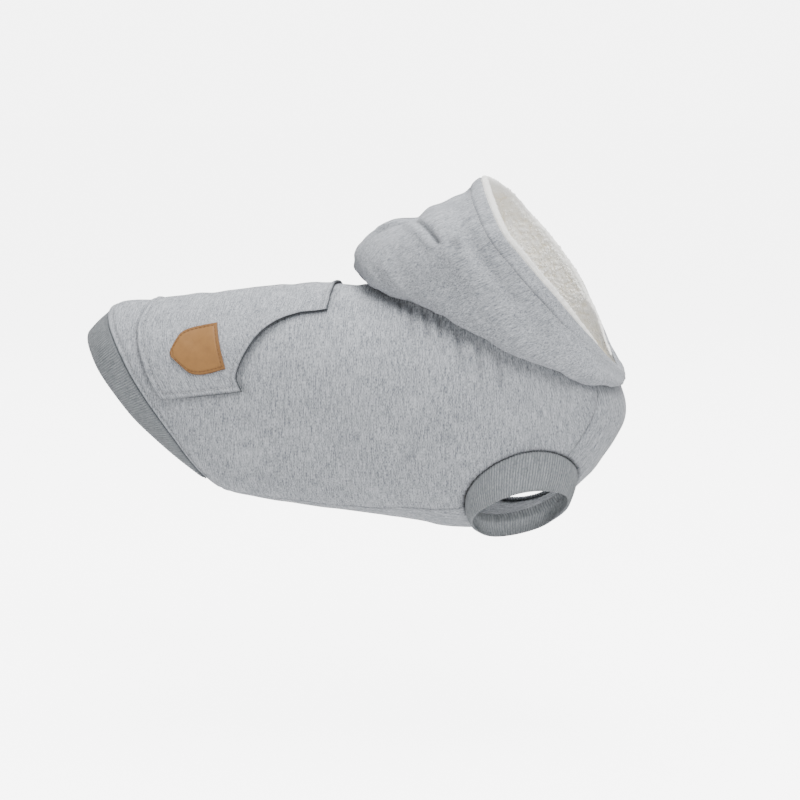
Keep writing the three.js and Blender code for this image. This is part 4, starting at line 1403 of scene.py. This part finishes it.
def rump_band():
    """Ribbed hem over the rump: carries on the body's surface and dies out at the flanks."""
    size = settings().trim
    last = math.radians(BAND_SECTIONS["angle"][-1])
    fine = np.linspace(-last, last, BAND_FINE_STEPS)
    arc = running(body_point(0, fine)[None], 1)[0]
    count = int(arc[-1] / size.rib_pitch) * RIB_STEPS
    angle = np.interp(np.linspace(0, arc[-1], count + 1), arc, fine)
    share = 1 - spread(BAND_ROWS)[:, None]
    degrees = np.abs(np.degrees(angle))
    width = size.band_width * curve(BAND_SECTIONS, "angle", "width", degrees)
    inward = hem_run(degrees) * RUN_LENGTH - settings().body.seam_gap
    reach = share * (width + inward) - inward
    run = np.maximum(-reach, 0) / RUN_LENGTH
    rearward = unit(body_point(0, angle) - body_point(NUDGE, angle))
    normals = body_normal(run, angle)
    points = body_point(run, angle) + rearward * np.maximum(reach, 0)[..., None]
    around = np.repeat(np.linspace(0, arc[-1], count + 1)[None], len(share), axis=0)
    rib = rib_shape(math.pi * around / size.rib_pitch)
    way_in = to_edges(running(points, 0), around)
    swell = BAND_SWELL * np.sin(math.pi * share) + wave("band sway", points)
    swell = swell - BAND_DIP * (1 - ease(share, *BAND_DIP_EASE))
    points = points + normals * (swell + rib_relief(rib, way_in, BAND_EDGE))[..., None]
    outer, inner = layers_of(points, normals, size.rib_wall, way_in)
    along = running(points, 0)
    # Painted shade in the ribs' valleys, and a painted shadow where the body cloth lies over the band
    raised = rib * (1 - BAND_SHADE * bell(along[-1:] - along, BAND_SHADE_WIDTH))
    arcs = np.stack([around, reach], axis=-1)
    return wall("rump_rib_band", outer, inner, rib_material(), arcs=arcs, marks={"raised": raised})


CUFF_ROWS = 24
# The cuff's ribs at its edges as a share of full height, and its swell
CUFF_EDGE = 0.4
CUFF_SWELL = 1.3 * MM
# How the cuff's end departs from a circle: share of its radius, number of bulges and their turn
CUFF_FLARES = ((0.02, 2, 0.6), (0.012, 5, 0))

# How the cuff turns out under the body cloth: depth below it and reach past the hole's edge, as
# shares of the tuck.
CUFF_TUCK = ((1.75, 1.3), (1.72, 0.9), (1.62, 0.45), (1.45, 0.1), (1.1, -0.12), (0.55, -0.16))


def cuff(name, side):
    """Ribbed cuff: a short tube from just inside the leg hole to its own lower loop."""
    size = settings().trim
    mirror = np.array([1, side, 1])
    centre, _, _, _ = leg_frame(side)
    end_centre = centre + np.array(CUFF_WAY) * mirror * size.cuff_drop
    end_along = np.array(CUFF_AXIS) * mirror
    end_first = unit(np.array([1.0, 0, 0]) - end_along * end_along[0])
    end_second = np.cross(end_along, end_first)
    girth = math.pi * size.cuff_end
    ribs = int(girth / size.rib_pitch)
    turn = np.linspace(0, TURN, ribs * RIB_STEPS + 1)
    run = np.full_like(turn, LEG_START[0])
    angle = np.full_like(turn, LEG_START[1] * side)
    radius = size.leg_hole / 2 - settings().body.seam_gap
    run, angle = on_leg_hole(side, turn, radius, run, angle, CUFF_TRIES)
    start = body_point(run, angle)
    circle = end_first * np.cos(turn)[:, None] + end_second * np.sin(turn)[:, None]
    flare = 1 + sum(share * np.sin(turn * bulges + start) for share, bulges, start in CUFF_FLARES)
    end = end_centre + circle * (size.cuff_end / 2 * flare)[:, None]
    surface = body_normal(run, angle)
    outward = start - start[:-1].mean(axis=0)
    outward = unit(outward - surface * np.sum(outward * surface, axis=1)[:, None])
    sunk, reach = np.array(CUFF_TUCK).T[:, :, None, None] * size.cuff_tuck
    down = np.linspace(0, 1, CUFF_ROWS + 1)[:, None, None]
    points = np.concatenate([start - surface * sunk + outward * reach, start + (end - start) * down])
    share = np.concatenate([np.zeros(len(sunk)), down[:, 0, 0]])[:, None]
    normals = across_grid(points, closed=True)
    rib = np.repeat(rib_shape(ribs * turn / 2)[None], len(points), axis=0)
    along_cuff = running(points, 0)
    way_in = to_edges(along_cuff)
    swell = CUFF_SWELL * np.sin(math.pi * share) + wave("cuff swell", points, side) * share
    points = points + normals * (swell + rib_relief(rib, way_in, CUFF_EDGE))[..., None]
    outer, inner = layers_of(points, normals, size.rib_wall, way_in)
    outer[:, -1], inner[:, -1] = outer[:, 0], inner[:, 0]
    around = np.repeat(turn[None] / TURN * girth, len(points), axis=0)
    arcs = np.stack([around, along_cuff], axis=-1)
    return wall(name, outer, inner, rib_material(), closed=True, arcs=arcs, marks={"raised": rib})


# Hood pieces

# Rise of the yarn streaks on the hood's sides
HOOD_GRAIN = math.radians(26)

# The lining's rolled edge: points across it, and how far and over which share of the rim it fades
# towards the chest
EDGE_STEPS = 6
EDGE_FADE = 0.9
FADE_LENGTH = 0.09
# The pile at the edges, its share and a swell on the rim's outside, and where the rim turns pale, free
# of the painted shade between the curls
PILE_EASE = (0, 0.0012)
RIM_EASE = (0, 0.001)
RIM_PILE = 0.8
RIM_SWELL = 0.0006
RIM_PALE = (0, 0.004)
RIM_REACH = 0.007


def hood_half(name, surface, side):
    """One half of the hood's grey cloth."""
    size = settings().hood
    way_in = to_edges(surface["rim_arc"], surface["away"])
    outer, inner = layers_of(surface["points"], surface["normals"], size.wall, way_in)
    clear = settings().body.seam_gap / 2
    for layer in (outer, inner):
        layer[..., 1] = -side * np.maximum(-side * layer[..., 1], clear)
    x, y, z = np.moveaxis(surface["points"], -1, 0)
    grain = math.cos(HOOD_GRAIN), math.sin(HOOD_GRAIN)
    arcs = np.stack([z * grain[0] - x * grain[1], x * grain[0] + z * grain[1]], axis=-1)
    order = slice(None, None, side)
    marks = {"painted_shade": surface["painted_shade_marks"][order], "depth": y[order]}
    cloth = cloth_material("Heather hood cloth")
    return wall(name, outer[order], inner[order], cloth, arcs=arcs[order], marks=marks)


def lining_grid(surfaces):
    """Points and outward normals of the lining's backing and its share of the full thickness, from
    the left chest end over the peak to the right one, with a rolled edge past the rim."""
    size = settings().hood
    depth = size.wall + settings().body.seam_gap
    reach = np.linspace(1, 0, EDGE_STEPS + 1)[:-1, None] * size.lining_edge
    halves = []
    for side in (LEFT, RIGHT):
        surface = surfaces[side]
        used = surface["turn"] <= LINING_END
        turn, normals = surface["turn"][used], surface["normals"][used]
        points = surface["points"][used] - normals * depth
        outward = unit(points[:, :1] - points[:, 2:3])
        fade = 1 - EDGE_FADE * ease(turn, LINING_END - FADE_LENGTH, LINING_END)
        edge = points[:, :1] + outward * reach * fade[:, None, None]
        points = np.concatenate([edge, points], axis=1)
        normals = np.concatenate([np.repeat(normals[:, :1], EDGE_STEPS, axis=1), normals], axis=1)
        thin = 1 - (1 - LINING_THINNEST) * ease(turn, LINING_THIN_FROM, LINING_END)
        thin = np.repeat(thin[:, None], points.shape[1], axis=1)
        halves.append([grid[::side] for grid in (points, normals, thin)])
    return [np.concatenate([left, right[1:]]) for left, right in zip(*halves)]


def hood_lining(surfaces):
    """Curly fleece inside the hood."""
    size = settings().hood
    points, normals, thin = lining_grid(surfaces)
    along, away = running(points, 0), running(points, 1)
    way_in = to_edges(along, away)
    curls = np.clip(0.5 + wave("curl", points) + wave("small curl", points), 0, 1)
    thick = (size.lining_wall - size.pile / 2) * thin
    outer, inner = layers_of(points, normals, thick, way_in)
    grow = ease(way_in, *PILE_EASE) * curls * size.pile * thin
    inner = inner - normals * grow[..., None]
    roll = (grow * RIM_PILE + RIM_SWELL * ease(way_in, *RIM_EASE)) * ease(size.lining_edge - away, *RIM_EASE)
    outer = outer + normals * roll[..., None]
    # Painted shade between the curls, by their height, which the pale rim is free of
    raised = np.maximum(curls, ease(RIM_REACH - away, *RIM_PALE))
    arcs = np.stack([along, away], axis=-1)
    return wall("hood_fleece_lining", outer, inner, fleece_material(), arcs=arcs, marks={"raised": raised})


# Curls: the ways from the rim between which they lie, and how many
CURLS = ((0.0045, 0.085, 3400), (0.0004, 0.0045, 900))
# They lie where the lining is thicker than this share. How deep, how scattered, how large and how pale
# they are follows, with their widths and heights as shares of their radius.
CURL_THIN = 0.8
CURL_EASE = (0.001, 0.004)
CURL_SCATTER = 0.6 * MM
CURL_SINK = 0.35
CURL_RADIUS = (0.0008, 0.0015)
CURL_WIDTH = (0.7, 1.2)
CURL_HEIGHT = (0.6, 1.0)
CURL_TONE = (0.45, 1)
CURL_PALE = (0.004, 0.008)
CURL_SEED = 7


def fleece_curls(surfaces):
    """Small curls scattered over the part of the lining that shows."""
    size = settings().hood
    points, normals, thin = lining_grid(surfaces)
    away = running(points, 1)
    random = np.random.default_rng(CURL_SEED)
    chosen = []
    for low, high, count in CURLS:
        shows = np.argwhere((away > low) & (away < high) & (thin > CURL_THIN))
        chosen.append(shows[random.permutation(len(shows))[:count]])
    chosen = tuple(np.concatenate(chosen).T)
    count = len(chosen[0])
    depth = (size.lining_wall - size.pile / 2) * ease(away[chosen], *CURL_EASE)
    scatter = random.uniform(-CURL_SCATTER, CURL_SCATTER, (count, 1))
    spots = points[chosen] - normals[chosen] * (depth[:, None] + size.pile * CURL_SINK + scatter)
    first = unit(random.normal(size=(count, 3)))
    second = unit(np.cross(first, random.normal(size=(count, 3))))
    third = np.cross(first, second)
    radius = random.uniform(*CURL_RADIUS, (count, 1))
    columns = (first * radius, second * radius * random.uniform(*CURL_WIDTH, (count, 1)),
               third * radius * random.uniform(*CURL_HEIGHT, (count, 1)))
    shape = bmesh.new()
    bmesh.ops.create_icosphere(shape, subdivisions=1, radius=1)
    tones = np.maximum(random.uniform(*CURL_TONE, count), 1 - ease(away[chosen], *CURL_PALE))
    return copies("fleece_curls", shape, placed(columns, spots), fleece_material(), tones)


# Pocket and patch pieces

POCKET_ROWS = 110
POCKET_COLUMNS = 240
PATCH_ROWS = 72
PATCH_COLUMNS = 66


def pocket_relief(points):
    """How the pocket's cloth swells, apart from its hems."""
    return POCKET_SWELL + wave("pocket swell", points)


def pocket_grid():
    """Runs and angles over the pocket, and how far it stands off the body."""
    widest = POCKET_EDGES["angle"][-1]
    corners = [POCKET_CORNER - 2, POCKET_CORNER - 1, POCKET_CORNER]
    even = np.linspace(-widest, widest, POCKET_COLUMNS + 1)
    degrees = np.unique(np.concatenate([even, corners, np.negative(corners)]))
    along = spread(POCKET_ROWS)[:, None]
    flat = np.abs(degrees)
    rear, front = pocket_edge("rear", flat), pocket_edge("front", flat)
    run = rear + (front - rear) * along
    angle = np.radians(degrees) * (1 - POCKET_SIDE_TAPER * along)
    return run, angle, pocket_stand_off(flat, along)


def pocket():
    """Pouch pocket over the back, sewn down at its front, sides and rear and open at its flanks."""
    size = settings().trim
    run, angle, stand_off = pocket_grid()
    base, normals = dressed_point(run, angle, stand_off)
    way_in = to_edges(running(base, 0), running(base, 1))
    past_hem = way_in - size.pocket_hem
    relief = pocket_relief(base) * ease(way_in, *POCKET_SWELL_EASE)
    relief = relief + POCKET_HEM_THICKNESS * (1 - ease(past_hem, *POCKET_HEM_STEP))
    relief = relief + seam_line(RIDGES, "pocket stitching", past_hem)
    points = base + normals * (size.pocket_wall + relief)[..., None]
    outer, inner = layers_of(points, normals, size.pocket_wall, way_in)
    arcs = np.stack([running(points, 0), running(points, 1)], axis=-1)
    arcs = arcs - arcs[:, arcs.shape[1] // 2][:, None] * (0, 1)
    # Painted shade along the pocket's edge and in its topstitching
    front = REAR_SHADE + (1 - REAR_SHADE) * ease(spread(POCKET_ROWS), *FRONT_EASE)[:, None]
    painted_shade_marks = np.maximum(front * seam_line(PAINTED_SHADE_LINES, "pocket edge", way_in),
                         seam_line(PAINTED_SHADE_LINES, "pocket stitching", past_hem))
    piece = wall("pouch_pocket", outer, inner, cloth_material(), arcs=arcs, marks={"painted_shade": painted_shade_marks})
    return piece, {"points": points, "normals": normals}


def patch_place(along, across):
    """A place on the patch's underside and its normal: along from the straight edge to the point
    and across it, in metres."""
    size = settings().trim
    middle, angle = PATCH_RUN, math.radians(PATCH_ANGLE)
    start = body_point(middle, angle)
    run_step, angle_step = PATCH_STEPS
    by_run = abs(run_step) / length_of(body_point(middle + run_step, angle) - start)
    by_angle = angle_step / length_of(body_point(middle, angle + math.radians(angle_step)) - start)
    run = middle - (along + across * PATCH_TURN) * by_run
    degrees = PATCH_ANGLE + (across + along * PATCH_TURN) * by_angle
    height = pocket_stand_off(*pocket_shares(run, degrees)) + size.pocket_wall + size.patch_clearance
    point, normal = dressed_point(run, np.radians(degrees), height)
    return point + normal * pocket_relief(point)[..., None], normal


def patch_half(along):
    size = settings().trim
    return size.patch_width / 2 * curve(PATCH_OUTLINE, "along", "half", along / size.patch_length)


def patch():
    """Tan leather patch with a pressed edge and a bare face."""
    size = settings().trim
    along = spread(PATCH_ROWS)[:, None] * size.patch_length
    across = (2 * spread(PATCH_COLUMNS) - 1) * patch_half(along)
    base, normals = patch_place(along, across)
    way_in = to_edges(running(base, 0), running(base, 1))
    pressed = bell(way_in - PATCH_INSET, PRESS_WIDTH)
    relief = (wave("leather dent", base) - PRESS_DEPTH * pressed) * ease(way_in, *PATCH_EASE)
    outer, inner = layers_of(base + normals * size.patch_wall, normals, size.patch_wall, way_in)
    outer = outer + normals * relief[..., None]
    raised = ease(way_in, *PATCH_EDGE) * (1 - PRESS_SHADE * pressed)
    marks = {"raised": raised[::-1]}
    return wall("leather_back_patch", outer[::-1], inner[::-1], leather_material(), marks=marks)


# Stitching

RUMP_POINTS = 700
PATCH_POINTS = 120
STRAIGHT_POINTS = 90


def line_at(surface, way, axis):
    """Points and normals at a way along each grid line; a negative way counts from its end."""
    arcs = running(surface["points"], axis)
    both = np.concatenate([surface["points"], surface["normals"]], axis=-1)
    if axis == 0:
        arcs, both = arcs.T, both.transpose(1, 0, 2)
    at = way if way >= 0 else arcs[:, -1] + way
    at = np.broadcast_to(at, len(arcs))
    return np.array([[np.interp(w, arc, line[:, n]) for n in range(6)]
                     for w, arc, line in zip(at, arcs, both)])


def trimmed(path, start, end):
    """The path without lengths at its start and end."""
    way = np.concatenate([[0], np.cumsum(length_of(np.diff(path[:, :3], axis=0)))])
    return path[(way >= start) & (way <= way[-1] - end)]


def pocket_paths(surface):
    hem = settings().trim.pocket_hem
    rear = line_at(surface, hem, 0)
    front = line_at(surface, -hem, 0)
    sides = [line_at(surface, hem, 1), line_at(surface, -hem, 1)]
    return [trimmed(path, hem, hem) for path in (rear, front, *sides)]


def rump_path():
    """Topstitching that holds the ribbed hem, on the body just ahead of it."""
    last = math.radians(BAND_SECTIONS["angle"][-1])
    angle = np.linspace(-last, last, RUMP_POINTS)
    _, ahead, _ = RIDGES["rump hem stitching"]
    run = hem_run(np.abs(np.degrees(angle))) + ahead / RUN_LENGTH
    return np.concatenate(dressed_point(run, angle), axis=1)


def patch_paths():
    """Stitching round the patch's edge: both sides from the straight edge to the point, and the
    straight edge."""
    size = settings().trim
    along = np.linspace(PATCH_INSET, size.patch_length - PATCH_INSET, PATCH_POINTS)
    half = np.maximum(patch_half(along) - PATCH_INSET, 0)
    straight = np.linspace(-half[0], half[0], STRAIGHT_POINTS)
    paths = []
    for ways in ((along, half), (along, -half), (np.full_like(straight, PATCH_INSET), straight)):
        point, normal = patch_place(*ways)
        lifted = point + normal * size.patch_wall * THREAD_LEVEL
        paths.append(np.concatenate([lifted, normal], axis=1))
    return paths


# Steps of the build

# Length without stitches at each end of the hood's rim
STITCH_FREE = 0.004


class HoodieStep:
    """What every step of the build has in common."""

    bl_options = {"REGISTER"}

    def execute(self, context):
        if not frame["nodes"]:
            raise RuntimeError("The packed frame holds no nodes")
        self.build()
        return {"FINISHED"}


class DOG_HOODIE_OT_body(HoodieStep, bpy.types.Operator):
    """Back and belly panels with their leg holes"""

    bl_idname = "dog_hoodie.body"
    bl_label = "Body Panels"

    def build(self):
        back = body_panel(
            "body_back", lambda run: -seam_angle(run), seam_angle, BACK_COLUMNS, grain=(0, 1))
        belly = body_panel(
            "body_belly", seam_angle, lambda run: TURN - seam_angle(run), BELLY_COLUMNS, grain=(1, 0))
        settle_cloth(back, "body_cloth", "back_panel")
        settle_cloth(belly, "body_cloth", "belly_panel")


class DOG_HOODIE_OT_ribbing(HoodieStep, bpy.types.Operator):
    """Ribbed hem over the rump and the two cuffs"""

    bl_idname = "dog_hoodie.ribbing"
    bl_label = "Ribbed Edges"

    def build(self):
        settle_cloth(rump_band(), "rib_knit", "rear_band")
        for side, word in SIDES.items():
            settle_cloth(cuff("leg_cuff_" + word, side), "rib_knit", "cuff_" + word)


class DOG_HOODIE_OT_hood(HoodieStep, bpy.types.Operator):
    """Both halves of the hood and its curly lining"""

    bl_idname = "dog_hoodie.hood"
    bl_label = "Hood and Lining"

    def build(self):
        surfaces = {side: hood_surface(side) for side in SIDES}
        for side, word in SIDES.items():
            half = hood_half("hood_half_" + word, surfaces[side], side)
            settle_cloth(half, "body_cloth", "hood_" + word)
        lining = hood_lining(surfaces)
        curls = settle(fleece_curls(surfaces), "fleece_lining")
        settle_cloth(lining, "fleece_lining", "hood_lining", with_pieces=[curls])
        rims = [trimmed(line_at(surface, settings().hood.hem, 1), STITCH_FREE, STITCH_FREE)
                for surface in surfaces.values()]
        settle(stitches("hood_hem_stitching", rims, cloth_thread()), "body_cloth")


class DOG_HOODIE_OT_pocket(HoodieStep, bpy.types.Operator):
    """Pouch pocket on the back, with the leather patch and their stitching"""

    bl_idname = "dog_hoodie.pocket"
    bl_label = "Pocket and Patch"

    def build(self):
        pouch, surface = pocket()
        settle_cloth(pouch, "body_cloth", "kangaroo_pocket")
        settle(patch(), "patch_leather", "leather_patch")
        settle(stitches("pocket_stitching", pocket_paths(surface), cloth_thread()), "body_cloth")
        tan = thread_material("Tan thread", settings().colours.leather_thread)
        settle(stitches("patch_stitching", patch_paths(), tan), "patch_leather")
        settle(stitches("rump_hem_stitching", [rump_path()], cloth_thread()), "body_cloth")


def cloth_thread():
    return thread_material("Grey thread", settings().colours.thread)


CAMERA_TARGET = (0.055, 0, -0.0825)
CAMERA_DISTANCE = 1.3
CAMERA_TURN = math.radians(7)
CAMERA_RISE = math.radians(10)
LENS = 78
SENSOR = 36
FLOOR_HEIGHT = -0.33
FLOOR_SIZE = 25

# Soft lights: name, place, size in metres and strength in watts.
LIGHTS = (
    ("Key", (0.7, -1.1, 1.5), 0.9, 34),
    ("Fill", (-1.4, -1.0, 0.5), 1.4, 3.5),
    ("Top", (0.1, 0.1, 1.6), 1.2, 38),
    ("Back", (-0.3, 1.5, 0.9), 1.2, 8),
)
WORLD_STRENGTH = 0.38
BACKDROP_STRENGTH = 6.0
FLOOR_GLOW = 5.6


def floor_material():
    material, nodes, shader = finish("Pale floor")
    tint = settings().colours.floor
    darker = [part * FLOOR_SHADE for part in tint]
    found = nodes.between(nodes.grain("floor", nodes.place()), opaque(darker), opaque(tint))
    nodes.tree.links.new(found, shader.inputs["Base Color"])
    shader.inputs["Emission Color"].default_value = WHITE
    seen = nodes.add("ShaderNodeLightPath").outputs["Is Camera Ray"]
    nodes.tree.links.new(nodes.maths("MULTIPLY", seen, FLOOR_GLOW), shader.inputs["Emission Strength"])
    return material


class DOG_HOODIE_OT_stage(HoodieStep, bpy.types.Operator):
    """Pale floor, soft lights and the camera"""

    bl_idname = "dog_hoodie.stage"
    bl_label = "Stage"

    def build(self):
        scene = bpy.context.scene
        bm = bmesh.new()
        bmesh.ops.create_grid(
            bm, x_segments=1, y_segments=1, size=FLOOR_SIZE, matrix=Matrix.Translation((0, 0, FLOOR_HEIGHT)))
        mesh = bpy.data.meshes.new("studio_floor")
        bm.to_mesh(mesh)
        bm.free()
        mesh.materials.append(floor_material())
        new_piece("studio_floor", mesh)
        target = Vector(CAMERA_TARGET)
        for name, place, size, power in LIGHTS:
            light = bpy.data.lights.new(name, "AREA")
            light.size = size
            light.energy = power
            lamp = new_piece(name, light)
            lamp.location = place
            lamp.rotation_euler = (target - Vector(place)).to_track_quat("-Z", "Y").to_euler()
        world = bpy.data.worlds.new("Studio")
        world.use_nodes = True
        nodes = Nodes(world.node_tree)
        seen = nodes.add("ShaderNodeLightPath").outputs["Is Camera Ray"]
        extra = nodes.maths("MULTIPLY", seen, BACKDROP_STRENGTH - WORLD_STRENGTH)
        strength = nodes.maths("ADD", extra, WORLD_STRENGTH)
        background = world.node_tree.nodes["Background"]
        background.inputs["Color"].default_value = WHITE
        world.node_tree.links.new(strength, background.inputs["Strength"])
        scene.world = world
        away = Vector((math.sin(CAMERA_TURN) * math.cos(CAMERA_RISE),
                       -math.cos(CAMERA_TURN) * math.cos(CAMERA_RISE), math.sin(CAMERA_RISE)))
        camera = bpy.data.cameras.new("Camera")
        camera.lens = LENS
        camera.sensor_width = SENSOR
        viewer = new_piece("Camera", camera)
        viewer.location = target + away * CAMERA_DISTANCE
        viewer.rotation_euler = (-away).to_track_quat("-Z", "Y").to_euler()
        scene.camera = viewer


STEPS = (DOG_HOODIE_OT_body, DOG_HOODIE_OT_ribbing, DOG_HOODIE_OT_hood, DOG_HOODIE_OT_pocket,
         DOG_HOODIE_OT_stage)


class DOG_HOODIE_PT_panel(bpy.types.Panel):
    """Sizes, colours and steps of the dog hoodie"""

    bl_label = "Dog Hoodie"
    bl_space_type = "VIEW_3D"
    bl_region_type = "UI"
    bl_category = "Dog Hoodie"

    def draw(self, context):
        for step in STEPS:
            self.layout.operator(step.bl_idname)
        for part in ("body", "hood", "trim", "colours"):
            group_of = getattr(context.scene.dog_hoodie, part)
            box = self.layout.box()
            for key in type(group_of).__annotations__:
                box.prop(group_of, key)


CLASSES = (HoodieBodySizes, HoodieHoodSizes, HoodieTrimSizes, HoodieColours, HoodieSettings, *STEPS,
           DOG_HOODIE_PT_panel)


def register():
    for each in CLASSES:
        bpy.utils.register_class(each)
    bpy.types.Scene.dog_hoodie = bpy.props.PointerProperty(
        type=HoodieSettings, name="Dog hoodie", description="Sizes and colours of the dog hoodie")


def unregister():
    del bpy.types.Scene.dog_hoodie
    for each in reversed(CLASSES):
        bpy.utils.unregister_class(each)


def main():
    register()
    for step in STEPS:
        _, name = step.bl_idname.split(".")
        getattr(bpy.ops.dog_hoodie, name)()


if __name__ == "__main__":
    main()
